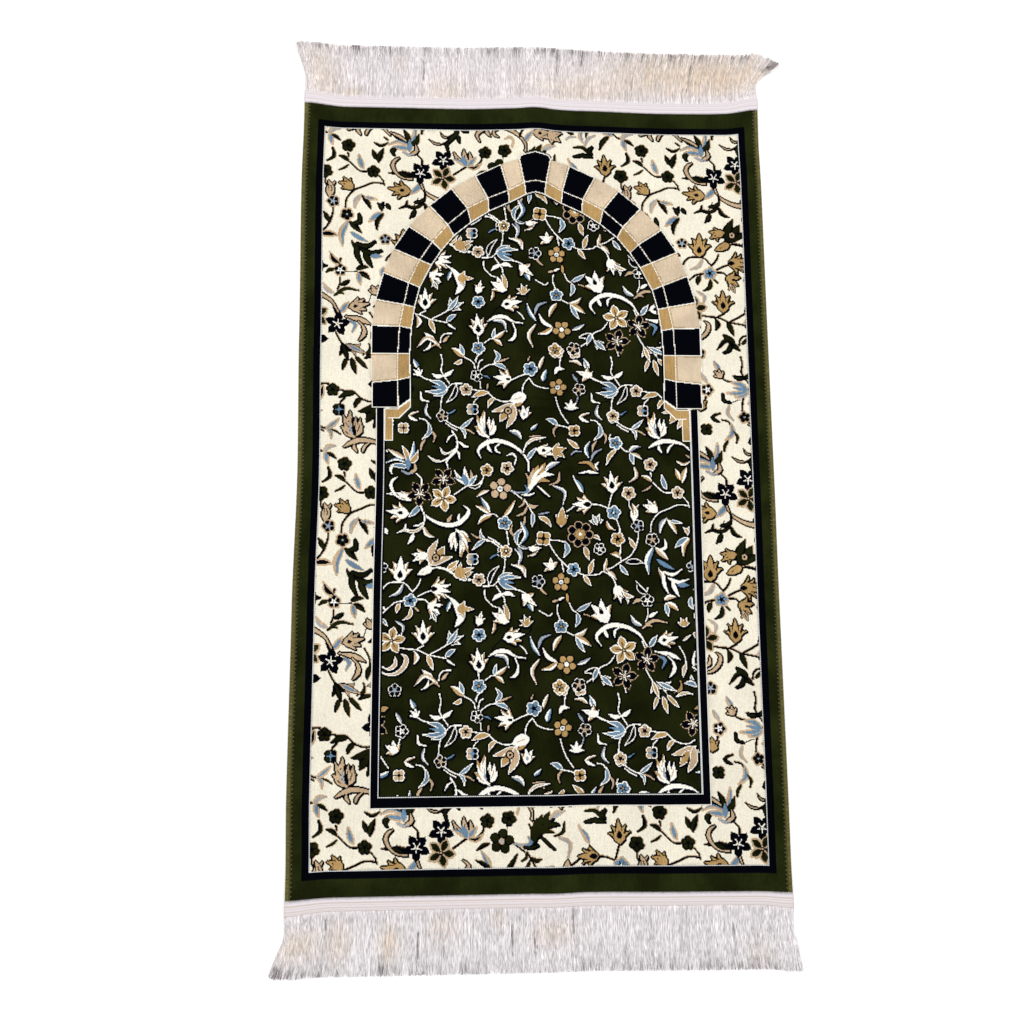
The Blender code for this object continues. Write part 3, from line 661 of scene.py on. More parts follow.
def along_line(line, x, y):
    """For each knot: distance to the line, the share along it, and which side it lies on."""
    start, step = line[:-1], np.diff(line, axis=0)
    offset_x = x[..., None] - start[:, 0]
    offset_y = y[..., None] - start[:, 1]
    length = np.maximum((step ** 2).sum(-1), 1e-9)
    share = np.clip((offset_x * step[:, 0] + offset_y * step[:, 1]) / length, 0.0, 1.0)
    away = np.hypot(offset_x - share * step[:, 0], offset_y - share * step[:, 1])
    nearest = away.argmin(-1)[..., None]
    cross = step[:, 0] * offset_y - step[:, 1] * offset_x
    take = lambda values: np.take_along_axis(values, nearest, -1)[..., 0]
    return take(away), (nearest[..., 0] + take(share)) / len(start), take(cross) > 0.0


def paint_vine(cartoon, points, role):
    line = curve_through(points, 5)
    knots, x, y = cartoon.window(line, VINE_WIDTH)
    away = along_line(line, x, y)[0]
    cartoon.paint(knots, [(away < VINE_WIDTH / 2, role)])


def blade_line(x, y, tip_x, tip_y, bend):
    """The midrib from base to tip, bent sideways by a sagitta."""
    base, tip = np.array((x, y), float), np.array((tip_x, tip_y), float)
    way = tip - base
    middle = (base + tip) / 2 + bend * np.array((-way[1], way[0])) / np.hypot(*way)
    return curve_through([base, middle, tip], 6)


# a blade's half-width as a share of its width, how far past its middle it is widest, how pointed
# its ends are, and the least half-width that still shows
Blade = namedtuple("Blade", "share fullest points thinnest")
LEAF_BLADE = Blade(0.42, 0.8, 0.75, 0.75)
STAR_BLADE = Blade(0.32, 1.15, 0.85, 0.7)
BLOOM_BLADE = Blade(0.42, 0.9, 0.8, 0.7)
SCROLL_BLADE = Blade(0.39, 1.5, 0.85, 1.0)
HEART_BLADE = Blade(0.8, 0.8, 1.0, 0.0)
SCROLL_END_LOSS = 0.5        # of its least half-width, from its narrow start to its tip


def blade_depth(blade, width, away, along):
    """How deep each knot lies inside a blade, from its distance to the midrib."""
    half = blade.share * width * np.maximum(np.sin(math.pi * along ** blade.fullest), 0.0) ** blade.points
    return np.maximum(half, blade.thinnest) - away


SMALL = 6                    # leaves and petals up to this width have no vein
LEAF_VEIN = (0.25, 0.7)      # from where to where it runs, in shares of the length
PETAL_VEIN = (0.35, 0.75)


def vein_of(away, along, first, last):
    return (away < VEIN_WIDTH / 2) & (along > first) & (along < last)


def paint_leaf(cartoon, leaf):
    """A pointed leaf or curl: rim all around, or fill and rim on either side of the midrib."""
    line = blade_line(leaf.x, leaf.y, leaf.tip_x, leaf.tip_y, leaf.bend)
    knots, x, y = cartoon.window(line, leaf.width)
    away, along, left = along_line(line, x, y)
    depth = blade_depth(LEAF_BLADE, leaf.width, away, along)
    if leaf.lay == ALONE:
        layers = [(depth > 0.0, leaf.fill)]
        if leaf.fill in (LOTUS, TAN) and leaf.width > SMALL:
            layers.append((vein_of(away, along, *LEAF_VEIN), STAR_RIM))
    elif leaf.lay == AROUND:
        layers = [(depth > 0.0, RIM_OF[leaf.fill]), (depth > RIM_WIDTH, leaf.fill)]
    else:
        filled = left if leaf.lay == LEFT else ~left
        layers = [(depth > 0.0, RIM_OF[leaf.fill]), ((depth > 0.0) & filled, leaf.fill)]
    cartoon.paint(knots, layers)


def petal_ring(dx, dy, flower, ring, radius):
    """How deep each knot lies inside a ring of round petals."""
    depth = np.full(dx.shape, -np.inf)
    for petal in range(flower.petals):
        angle = math.radians(flower.turn + petal * 360.0 / flower.petals)
        away = np.hypot(dx - ring * math.cos(angle), dy - ring * math.sin(angle))
        depth = np.maximum(depth, radius - away)
    return depth


def spokes(dx, dy, flower, reach):
    """Narrow lines from a flower's heart outwards, between its petals."""
    where = np.zeros(dx.shape, bool)
    for petal in range(flower.petals):
        angle = math.radians(flower.turn + (petal + 0.5) * 360.0 / flower.petals)
        along = dx * math.cos(angle) + dy * math.sin(angle)
        aside = np.abs(dy * math.cos(angle) - dx * math.sin(angle))
        where |= (along > 0.0) & (along < reach) & (aside < SPOKE_HALF)
    return where


SPOKE_HALF = 0.8
# a small flower's petal radius and spokes by its number of petals, as shares of its half-width
PETAL_SHARE = {4: 0.50, 5: 0.45}
SPOKE_SHARE = {4: 0.66, 5: 0.56}
PALE_PETAL_RIM, DARK_PETAL_RIM = 1.3, 0.9
# its middle, in shares of its half-width: as far as its rim, its fill, its dark disc and its heart
MIDDLE_RIM, MIDDLE_FILL, MIDDLE_DARK, MIDDLE_HEART = 0.45, 0.4, 0.26, 0.15


def paint_flower(cartoon, flower):
    """A small flower of round petals inside one rim, with dark lines around its heart."""
    half = flower.width / 2
    petal = half * PETAL_SHARE.get(flower.petals, 0.45)
    knots, dx, dy = cartoon.around(flower, half + 2)
    depth = petal_ring(dx, dy, flower, half - petal, petal)
    middle = np.hypot(dx, dy) / half
    rim = DARK_PETAL_RIM if flower.fill == BLACK else PALE_PETAL_RIM
    dark = BLACK if flower.fill != BLACK and flower.heart != BLUE else flower.heart
    layers = [
        ((depth > 0.0) | (middle < MIDDLE_RIM), RIM_OF[flower.fill]),
        ((depth > rim) | (middle < MIDDLE_FILL), flower.fill),
        (spokes(dx, dy, flower, half * SPOKE_SHARE.get(flower.petals, 0.56)), dark),
        (middle < MIDDLE_DARK, dark),
        (middle < MIDDLE_HEART, flower.heart if flower.fill != BLACK else GREY),
    ]
    if flower.petals == 4 and flower.heart == BLUE:
        layers.insert(2, ((depth > rim) & (dx > 0.5), BLACK))
    cartoon.paint(knots, layers)


EYE_RINGS = (0.5, 0.34, 0.16)           # radii as shares of the eye's width


def paint_eye(cartoon, eye):
    """A dark disc with a ring in it."""
    knots, dx, dy = cartoon.around(eye, eye.width)
    middle = np.hypot(dx, dy) / eye.width
    roles = (eye.fill, eye.heart, eye.fill)
    cartoon.paint(knots, [(middle < radius, role) for radius, role in zip(EYE_RINGS, roles)])


ROUND_PETAL_SHARE = 0.335    # a round petal's radius, as a share of the flower's half-width
RING_WIDTH = 1.5             # of the dark ground that a round flower stands on
ROUND_MIDDLE = 0.5           # its ground, its pale heart's rim and the heart, in half-widths
ROUND_HEART_RIM, ROUND_HEART = 0.25, 0.14
# the rosette in a dark one: where its petals lie and their radius, in half-widths, and in
# millimetres its ground's width and its heart's radius
ROSETTE_AT, ROSETTE_PETAL, ROSETTE_GROUND, ROSETTE_HEART = 0.26, 0.16, 1.2, 2.4


def paint_round_flower(cartoon, flower):
    """A large flower whose petals stand apart on a dark ground, with a bright heart."""
    half = flower.width / 2
    petal = half * ROUND_PETAL_SHARE
    knots, dx, dy = cartoon.around(flower, half + 4)
    depth = petal_ring(dx, dy, flower, half - petal, petal)
    middle = np.hypot(dx, dy)
    layers = [
        ((depth > -RING_WIDTH) | (middle < half * ROUND_MIDDLE), BLACK),
        (depth > 0.0, STAR_RIM if flower.fill == BLACK else flower.fill),
        (depth > RIM_WIDTH, flower.fill),
    ]
    if flower.fill == BLACK:
        rosette = petal_ring(dx, dy, flower, half * ROSETTE_AT, half * ROSETTE_PETAL)
        layers += [
            (rosette > -ROSETTE_GROUND, BLACK),
            (rosette > 0.0, flower.heart),
            (middle < ROSETTE_HEART, LOTUS),
        ]
    else:
        layers.append((middle < half * ROUND_HEART_RIM, RIM))
        layers.append((middle < half * ROUND_HEART, flower.heart))
    cartoon.paint(knots, layers)


# a star's rim, its heart's radius, and how far its veins run along its petals
StarLook = namedtuple("StarLook", "rim_width heart vein_end heart_role")
DARK_STAR = StarLook(0.9, 2.3, 0.4, HEART)
PALE_STAR = StarLook(1.5, 2.9, 0.6, BLACK)
STAR_PETALS = 5
STAR_VEIN_HALF, STAR_VEIN_START = 0.7, 0.15
STAR_MIDDLE_RIM, STAR_MIDDLE_FILL, STAR_DOT = 4.0, 3.0, 1.4      # radii in millimetres


def paint_star(cartoon, star):
    """A five-petalled star: pointed petals that part at its heart, with a rim and a vein."""
    half = star.width / 2
    look = DARK_STAR if star.fill == BLACK else PALE_STAR
    knots, x, y = cartoon.window([(star.x, star.y)], half + 3)
    depth, vein = np.full(x.shape, -np.inf), np.zeros(x.shape, bool)
    for petal in range(STAR_PETALS):
        angle = math.radians(star.turn + petal * 360.0 / STAR_PETALS)
        tip = (star.x + half * math.cos(angle), star.y + half * math.sin(angle))
        line = blade_line(star.x, star.y, *tip, 0.0)
        away, along, _left = along_line(line, x, y)
        depth = np.maximum(depth, blade_depth(STAR_BLADE, half, away, along))
        vein |= (away < STAR_VEIN_HALF) & (along > STAR_VEIN_START) & (along < look.vein_end)
    middle = np.hypot(x - star.x, y - star.y)
    cartoon.paint(knots, [
        ((depth > 0.0) | (middle < STAR_MIDDLE_RIM), star.rim),
        ((depth > look.rim_width) | (middle < STAR_MIDDLE_FILL), star.fill),
        (vein, look.heart_role),
        (middle < look.heart, look.heart_role),
        (middle < STAR_DOT, TAN),
    ])


OUTER_PETAL_LOSS = 0.34      # of its length, for the outermost petal of a bloom of three or more
PETAL_CURL = 0.16            # a petal's sagitta as a share of its length
PARTING = 1.2                # width of the dark line between petals
LOTUS_PARTS_AT = 0.5         # share of its petals from which a lotus's dark lines run
LOTUS_RIM, TULIP_RIM = 0.9, 1.5
EDGE_WIDTH, EDGE_START, EDGE_FAN = 1.7, 0.3, 0.2     # golden edges, which middle petals lack
BODY_AT, BODY_RADIUS = 0.3, 0.25                     # a lotus's round body, in petal lengths
HEART_POINT = 1.4            # its almond heart's tip, in the heart's radii from its middle
THIN_SCROLL = 5.5            # scrolls no wider than this don't part from the ones they join


def bloom_petals(bloom):
    """The midribs of a bloom's petals with their place in the fan, the outer ones first."""
    fans = np.linspace(-0.5, 0.5, bloom.petals) if bloom.petals > 1 else np.zeros(1)
    for fan in sorted(fans, key=abs, reverse=True):
        angle = math.radians(bloom.turn + fan * bloom.spread)
        length = bloom.length * (1.0 - OUTER_PETAL_LOSS * abs(fan) * 2 * (bloom.petals > 2))
        tip = (bloom.x + length * math.cos(angle), bloom.y + length * math.sin(angle))
        yield fan, blade_line(bloom.x, bloom.y, *tip, -PETAL_CURL * length * fan * 2)


def paint_bloom(cartoon, bloom):
    """A lotus, tulip or bud: pointed petals fanned out from one base. A lotus's petals part
    only at their tips, over a round body with an almond heart."""
    pale = bloom.fill in (LOTUS, AMBER, FLAME)
    parts_at = LOTUS_PARTS_AT if pale else 0.0
    for fan, line in bloom_petals(bloom):
        knots, x, y = cartoon.window(line, bloom.width)
        away, along, left = along_line(line, x, y)
        depth = blade_depth(BLOOM_BLADE, bloom.width, away, along)
        between = (depth > -PARTING) & ((along > parts_at) | (cartoon.roles[knots] == GROUND))
        layers = [(between, BLACK), (depth > 0.0, RIM_OF[bloom.fill])]
        layers.append((depth > (LOTUS_RIM if pale else TULIP_RIM), bloom.fill))
        if bloom.fill in (LOTUS, AMBER) and abs(fan) > EDGE_FAN and bloom.width > SMALL:
            edge = (depth > 0.0) & (depth < EDGE_WIDTH) & (left == (fan > 0.0))
            layers.append((edge & (along > EDGE_START), GOLD if bloom.fill == AMBER else FLAME))
        if pale and bloom.heart is None and bloom.width > SMALL:
            layers.append((vein_of(away, along, *PETAL_VEIN), STAR_RIM))
        cartoon.paint(knots, layers)
    angle = math.radians(bloom.turn)
    way = np.array((math.cos(angle), math.sin(angle)))
    base = np.array((bloom.x, bloom.y))
    if pale and bloom.petals > 2:
        middle = base + way * bloom.length * BODY_AT
        knots, x, y = cartoon.window([middle], bloom.length * BODY_AT)
        body = np.hypot(x - middle[0], y - middle[1]) < bloom.length * BODY_RADIUS
        cartoon.paint(knots, [(body, bloom.fill)])
    if bloom.heart is not None:
        place, radius, role = bloom.heart
        reach = place * bloom.length
        line = base + way * np.array([[reach - radius], [reach], [reach + radius * HEART_POINT]])
        knots, x, y = cartoon.window(line, radius + 2)
        away, along, _left = along_line(line, x, y)
        cartoon.paint(knots, [(blade_depth(HEART_BLADE, radius, away, along) > 0.0, role)])


def paint_scroll(cartoon, scroll):
    """A curl that starts narrow and swells before its tip."""
    line = curve_through(scroll.points, 6)
    knots, x, y = cartoon.window(line, scroll.width)
    away, along, _left = along_line(line, x, y)
    blade = SCROLL_BLADE._replace(thinnest=1.0 - SCROLL_END_LOSS * along)
    depth = blade_depth(blade, scroll.width, away, along)
    kept = (GROUND, VINE) if scroll.width > THIN_SCROLL else (GROUND, VINE, BODY, LOTUS)
    over = ~np.isin(cartoon.roles[knots], kept)
    layers = [((depth > -PARTING) & over, BLACK), (depth > 0.0, RIM_OF.get(scroll.fill, BODY))]
    layers.append((depth > (0.0 if scroll.fill in (BODY, LOTUS) else RIM_WIDTH), scroll.fill))
    cartoon.paint(knots, layers)


def turned(placing, x, y):
    angle = math.radians(placing.turn)
    cos, sin = math.cos(angle), math.sin(angle)
    return x * cos - y * sin + placing.x, x * sin + y * cos + placing.y


def placed_motif(placing, motif):
    """The same motif where a spray is placed again, turned in the plane."""
    x, y = turned(placing, motif.x, motif.y)
    if isinstance(motif, Leaf):
        tip_x, tip_y = turned(placing, motif.tip_x, motif.tip_y)
        return motif._replace(x=x, y=y, tip_x=tip_x, tip_y=tip_y)
    return motif._replace(x=x, y=y, turn=motif.turn + placing.turn)


def grown(where):
    """The given knots and their neighbours."""
    result = where.copy()
    for rows, columns in ((1, 0), (-1, 0), (0, 1), (0, -1), (-1, 1)):
        result |= np.roll(where, (rows, columns), (0, 1))
    return result


def add_contour(roles):
    """A contour around every motif, heavier below: black in the field, tan in the border, where
    only the scrolls and lotuses and the lower sides of leaves are black."""
    bold = np.isin(roles, (BODY, LOTUS, AMBER, FLAME, TAN))
    dark = np.isin(roles, (VINE, GOLD, BEIGE))
    below = np.roll(dark, (-1, 0), (0, 1)) | np.roll(dark, (0, -1), (0, 1))
    near = grown(~np.isin(roles, (GROUND, BLACK, STAR_RIM, HEART)))
    heavy = grown(grown(bold))
    far = grown(near) | np.roll(heavy, (-1, -1), (0, 1))
    for where, role in ((far, OUTER), (near, CONTOUR), (heavy | below, BLACK)):
        roles[where & np.isin(roles, (GROUND, CONTOUR, OUTER))] = role
    return roles


def paint_leaves(cartoon, table, placing=None):
    for leaves in table:
        for row in leaves.rows:
            leaf = Leaf(*row, leaves.fill, leaves.lay)
            paint_leaf(cartoon, placed_motif(placing, leaf) if placing else leaf)


def draw_cartoon():
    """Paint stems first, then leaves, blooms and flowers over their ends."""
    cartoon = Cartoon()
    for points in TENDRILS:
        paint_vine(cartoon, points, BLACK)
    for points in VINES:
        paint_vine(cartoon, points, VINE)
    for placing in SPRAYS:
        for points in SPRAY_VINES:
            moved = turned(placing, np.array(points[0::2]), np.array(points[1::2]))
            paint_vine(cartoon, np.stack(moved, -1), VINE)
        paint_leaves(cartoon, SPRAY_LEAVES, placing)
    paint_leaves(cartoon, LEAVES)
    for placing in SPRAYS:
        paint_leaves(cartoon, FAN_LEAVES, placing)
    for placing in (SPRAYS[0], SPRAYS[2]):
        paint_eye(cartoon, placed_motif(placing, FAN_EYE))
    for scroll in SCROLLS:
        paint_scroll(cartoon, scroll)
    for placing in SPRAYS:
        for bloom in SPRAY_BLOOMS:
            paint_bloom(cartoon, placed_motif(placing, bloom))
        for flower in SPRAY_FLOWERS:
            paint_flower(cartoon, placed_motif(placing, flower))
    for table, paint_motif in (
            (BLOOMS, paint_bloom), (STARS, paint_star), (ROUND_FLOWERS, paint_round_flower),
            (FLOWERS, paint_flower)):
        for motif in table:
            paint_motif(cartoon, motif)
    return add_contour(cartoon.roles)


# --- the rug's layout, in millimetres of the flat rug ----------------------------------------
Box = namedtuple("Box", "left right bottom top")
OUTER_BAND = Box(-320.0, 320.0, -542.0, 542.0)          # outside of the black outer band
OUTER_BEAD = Box(-310.5, 310.5, -532.4, 532.4)          # its beaded line
BORDER = Box(-309.0, 309.0, -531.0, 531.0)              # the flowered border's ground
BAND_TOP = 102.5                                        # the inner band ends under the arch
INNER_LINE = Box(-230.5, 233.5, -453.0, BAND_TOP)
INNER_BAND = Box(-229.0, 232.0, -451.5, BAND_TOP)
INNER_BEAD = Box(-219.0, 222.5, -438.8, BAND_TOP)
INNER_GAP = Box(-217.5, 221.0, -437.5, BAND_TOP)
FIELD = Box(-216.0, 219.5, -436.0, BAND_TOP)
FIELD_TOP = Box(-181.5, 185.5, BAND_TOP - 2.0, 119.0)
LINE = 1.4                                              # width of the white lines

# the arch's joints from its foot to its keystone: how far out from the arch's middle line, and
# how high, they meet its outside, the line between its two rings, and its inside
ARCH_MIDDLE = 2.0
Joint = namedtuple("Joint", "outer_x outer_y ring_x ring_y inner_x inner_y")
ARCH_JOINTS = [
    Joint(238.0, 104.0, 200.5, 104.0, 183.0, 117.0),
    Joint(237.5, 141.0, 201.0, 145.0, 183.5, 149.0),
    Joint(239.0, 184.0, 201.0, 184.5, 184.0, 184.5),
    Joint(239.0, 226.0, 199.0, 225.5, 182.0, 222.0),
    Joint(233.5, 265.5, 193.0, 258.0, 177.5, 254.5),
    Joint(222.3, 306.5, 186.0, 291.5, 170.0, 284.5),
    Joint(208.0, 343.5, 170.0, 326.5, 153.0, 319.0),
    Joint(186.0, 378.5, 151.5, 355.0, 138.5, 341.5),
    Joint(155.5, 411.5, 129.0, 382.0, 120.0, 365.0),
    Joint(123.7, 438.5, 100.0, 408.0, 95.0, 386.0),
    Joint(88.5, 459.0, 70.0, 424.0, 68.5, 403.5),
    Joint(51.0, 476.5, 40.0, 436.0, 38.5, 417.0),
    Joint(23.0, 485.0, 16.0, 448.0, 13.8, 429.0),
]
KEYSTONE_TOP = [(-23.0, 485.0), (-20.5, 491.0), (0.0, 495.5), (20.5, 491.0), (23.0, 485.0)]
KEYSTONE_RING = [(-16.0, 448.0), (0.0, 450.5), (16.0, 448.0)]
KEYSTONE_INSIDE = [(13.8, 429.0), (0.0, 432.5), (-13.8, 429.0)]
# the gold bracket under each foot of the arch, and the white line that steps across it
CORBEL = [
    (219.0, 102.5), (200.5, 102.5), (183.0, 115.5), (183.0, 105.0),
    (199.5, 88.5), (208.5, 88.5), (208.5, 56.5), (219.0, 56.5),
]
CORBEL_STEP = [(214.0, 88.5), (208.5, 88.5)]
STITCHED = 2.6               # how far gold knots reach into a sand block from its joints
INSIDE_SHADOW = 3.0          # how far the black line reaches inwards from the arch's inside

COLUMNS_PER_HALF = 276       # knots between the middle and the side; the last one is cut wider
ROWS_PER_HALF = 470
MERGE_LIMIT = 12             # knots of one colour that one face may span
RIM_CUTS = (1, 2, 3, 5)      # knots in from the rug's rim where every face ends


class Canvas:
    """The whole rug's knots: a yarn for each, worked out from the repeat and the layout."""

    def __init__(self):
        self.column_edges = np.arange(-COLUMNS_PER_HALF, COLUMNS_PER_HALF + 1) * KNOT_WIDTH
        self.column_edges[[0, -1]] = -PILE_EDGE / MM, PILE_EDGE / MM
        self.row_edges = np.arange(-ROWS_PER_HALF, ROWS_PER_HALF + 1) * KNOT_LENGTH
        self.row_edges[[0, -1]] = -HALF_LENGTH / MM, HALF_LENGTH / MM
        columns = np.arange(-COLUMNS_PER_HALF, COLUMNS_PER_HALF)
        rows = np.arange(-ROWS_PER_HALF, ROWS_PER_HALF)
        self.x, self.y = np.meshgrid((columns + 0.5) * KNOT_WIDTH, (rows + 0.5) * KNOT_LENGTH)
        self.repeat = np.ix_(rows % REPEAT_ROWS, columns % REPEAT_COLUMNS)
        self.yarn = np.full(self.x.shape, MARGIN_YARN, np.int8)
        self.beat = (rows[:, None] + columns[None, :]) % 2 == 0

    def inside(self, box):
        return ((self.x > box.left) & (self.x < box.right)
                & (self.y > box.bottom) & (self.y < box.top))

    def within(self, corners):
        """Knots inside a polygon."""
        result = np.zeros(self.x.shape, bool)
        for (x0, y0), (x1, y1) in zip(corners, corners[1:] + corners[:1]):
            if y0 == y1:
                continue
            crosses = (y0 <= self.y) != (y1 <= self.y)
            result ^= crosses & (self.x < x0 + (self.y - y0) * (x1 - x0) / (y1 - y0))
        return result

    def near(self, points, reach):
        """Knots within reach of a straight-sided line."""
        away = along_line(np.asarray(points, float), self.x, self.y)[0]
        return away < reach


def on_arch(points, side=1.0):
    """Points given outwards from the arch's middle line, on one side of it."""
    return [(ARCH_MIDDLE + side * x, y) for x, y in points]


def joint_line(joint, side):
    return on_arch([joint[0:2], joint[2:4], joint[4:6]], side)


def draw_arch(canvas):
    """Black and gold blocks in two rings, with white joints, and the gold brackets."""
    yarn = canvas.yarn
    lines = [on_arch(KEYSTONE_TOP)]
    rings = [on_arch(KEYSTONE_RING)]
    for side in (-1.0, 1.0):
        joints = [joint_line(joint, side) for joint in ARCH_JOINTS]
        lines += joints
        for index, (low, high) in enumerate(zip(joints, joints[1:])):
            dark = index % 2 == 0
            wide = [low[0], high[0], high[1], low[1]]
            in_wide = canvas.within(wide)
            yarn[in_wide] = BLACK_YARN if dark else SAND_YARN
            yarn[canvas.within([low[1], high[1], high[2], low[2]])] = BLACK_YARN if dark else GOLD_YARN
            rings.append(wide[2:])
            if dark:
                lines.append(wide[:2])
            else:
                stitched = canvas.near(wide[1:] + wide[:1], STITCHED)
                yarn[stitched & in_wide & canvas.beat] = GOLD_YARN
        corbel = on_arch(CORBEL, side)
        yarn[canvas.within(corbel)] = GOLD_YARN
        lines += [corbel + corbel[:1], on_arch(CORBEL_STEP, side)]
    for part in (KEYSTONE_TOP + KEYSTONE_RING[::-1], KEYSTONE_RING + KEYSTONE_INSIDE):
        yarn[canvas.within(on_arch(part))] = BLACK_YARN
    for line in lines:
        yarn[canvas.near(line, LINE / 2)] = WHITE_YARN
    for line in rings:
        on_line = canvas.near(line, LINE / 2)
        yarn[on_line] = WHITE_YARN
        yarn[on_line & (np.floor(canvas.y / (2 * KNOT_LENGTH)) % 2 == 0) & canvas.beat] = BEIGE_YARN


def inside_outline():
    """The line that runs up one inner side of the arch, over its point and down the other."""
    side = [(joint.inner_x, joint.inner_y) for joint in ARCH_JOINTS]
    return on_arch(side, -1.0) + on_arch(KEYSTONE_INSIDE[1:2]) + on_arch(side[::-1])


OUTLINE_MARGIN = 1.5         # so that the arch's own zone holds its white outlines


def arch_outline():
    """The outside of the whole arch, from foot to foot."""
    side = [(joint.outer_x + OUTLINE_MARGIN, joint.outer_y) for joint in ARCH_JOINTS]
    top = [(x, y + OUTLINE_MARGIN) for x, y in KEYSTONE_TOP[1:-1]]
    return on_arch(side, -1.0) + on_arch(top) + on_arch(side[::-1])


def draw_rug():
    """Lay out margin, bands, border, field and arch, and return the canvas and its zones."""
    canvas = Canvas()
    roles = draw_cartoon()[canvas.repeat]
    field_yarn = np.array([role.field for role in ROLES], np.int8)[roles]
    border_yarn = np.array([role.border for role in ROLES], np.int8)[roles]
    beads = np.where(canvas.beat, WHITE_YARN, GREY_YARN)
    yarn = canvas.yarn

    def lay(where, yarns):
        yarn[where] = yarns[where]

    yarn[canvas.inside(OUTER_BAND)] = BLACK_YARN
    lay(canvas.inside(OUTER_BEAD), beads)
    lay(canvas.inside(BORDER), border_yarn)
    yarn[canvas.inside(INNER_LINE)] = WHITE_YARN
    yarn[canvas.inside(INNER_BAND)] = BLACK_YARN
    lay(canvas.inside(INNER_BEAD), beads)
    yarn[canvas.inside(INNER_GAP)] = BLACK_YARN

    outline = inside_outline()
    arch_opening = canvas.within(outline)
    lay(canvas.inside(FIELD) | canvas.inside(FIELD_TOP) | arch_opening, field_yarn)
    draw_arch(canvas)
    yarn[canvas.near(outline, INSIDE_SHADOW) & arch_opening] = BLACK_YARN
    yarn[canvas.near(outline, LINE / 2)] = WHITE_YARN

    whole_arch = canvas.within(arch_outline())
    field_zone = canvas.inside(INNER_LINE) | whole_arch
    border_zone = canvas.inside(BORDER) & ~field_zone
    arch_zone = whole_arch & (~arch_opening | canvas.near(outline, OUTLINE_MARGIN))
    zones = {
        "pile_arch": arch_zone,
        "pile_field": field_zone & ~arch_zone,
        "pile_border": border_zone,
        "pile_margin": ~(field_zone | border_zone),
    }
    return canvas, zones


# --- knots to faces --------------------------------------------------------------------------
def cuts(count):
    """Where every face ends: evenly, and closer where the pile rounds off at the rug's rim."""
    even = range(0, count, MERGE_LIMIT)
    return sorted({*even, *RIM_CUTS, *(count - cut for cut in RIM_CUTS), count})


def knot_blocks(yarn, zone):
    """Rectangles of one yarn within a zone: first row, past row, first column, past column."""
    rows, columns = yarn.shape
    tag = np.where(zone, yarn, -1)
    row_cuts, column_cuts = set(cuts(rows)), cuts(columns)
    open_blocks, blocks = {}, []
    for row in range(rows):
        line = tag[row]
        breaks = np.flatnonzero(np.diff(line)) + 1
        starts = np.unique(np.concatenate([breaks, column_cuts]))
        current = {}
        for start, past in zip(starts[:-1].tolist(), starts[1:].tolist()):
            if line[start] < 0:
                continue
            key = (start, past, int(line[start]))
            first = open_blocks.pop(key, row)
            if first < row and row in row_cuts:
                blocks.append((first, row) + key)
                first = row
            current[key] = first
        blocks += [(first, row) + key for key, first in open_blocks.items()]
        open_blocks = current
    blocks += [(first, rows) + key for key, first in open_blocks.items()]
    return blocks


RIM_DROP, RIM_REACH = 0.9 * MM, 3.5 * MM
NAP_WAVE = 0.10 * MM


def pile_height(x, y):
    """Height of the pile's tips over the underside: it rounds off at the rug's rim, and its
    nap is never quite even. The places are in metres of the flat rug."""
    rim = np.minimum(PILE_EDGE - np.abs(x), HALF_LENGTH - np.abs(y))
    drop = RIM_DROP * (1.0 - smooth(rim / RIM_REACH))
    across = np.sin(x * 310.0 + 1.3 * np.sin(y * 97.0))
    lengthwise = np.sin(y * 270.0 + 1.1 * np.sin(x * 83.0))
    return THICKNESS - drop + NAP_WAVE * (across * lengthwise)


def pile_mesh(canvas, blocks, corner_marks):
    """One closed surface of knots, in which neighbouring faces share every corner."""
    numbers = np.full(corner_marks.shape, -1, np.int64)
    faces, yarns = [], []
    for first, past, start, end, yarn in blocks:
        low = [(first, c) for c in (np.flatnonzero(corner_marks[first, start:end + 1]) + start)]
        right = [(r, end) for r in (np.flatnonzero(corner_marks[first:past + 1, end]) + first)]
        high = [(past, c) for c in (np.flatnonzero(corner_marks[past, start:end + 1]) + start)]
        left = [(r, start) for r in (np.flatnonzero(corner_marks[first:past + 1, start]) + first)]
        faces.append(low + right[1:] + high[::-1][1:] + left[::-1][1:-1])
        yarns.append(yarn)
    places = np.array(sorted({corner for face in faces for corner in face}))
    numbers[places[:, 0], places[:, 1]] = np.arange(len(places))
    flat_x = canvas.column_edges[places[:, 1]] * MM
    flat_y = canvas.row_edges[places[:, 0]] * MM
    points = placed(flat_x, flat_y, pile_height(flat_x, flat_y))
    return points, [[int(numbers[corner]) for corner in face] for face in faces], yarns, places


SKIRT_OUT = 0.15 * MM
SKIRT_FOOT = 1.75 * MM
SKIRT_INSIDE = 1.3 * MM
AT_RIM = 0.1 * MM            # corners this near the rug's rim are on it


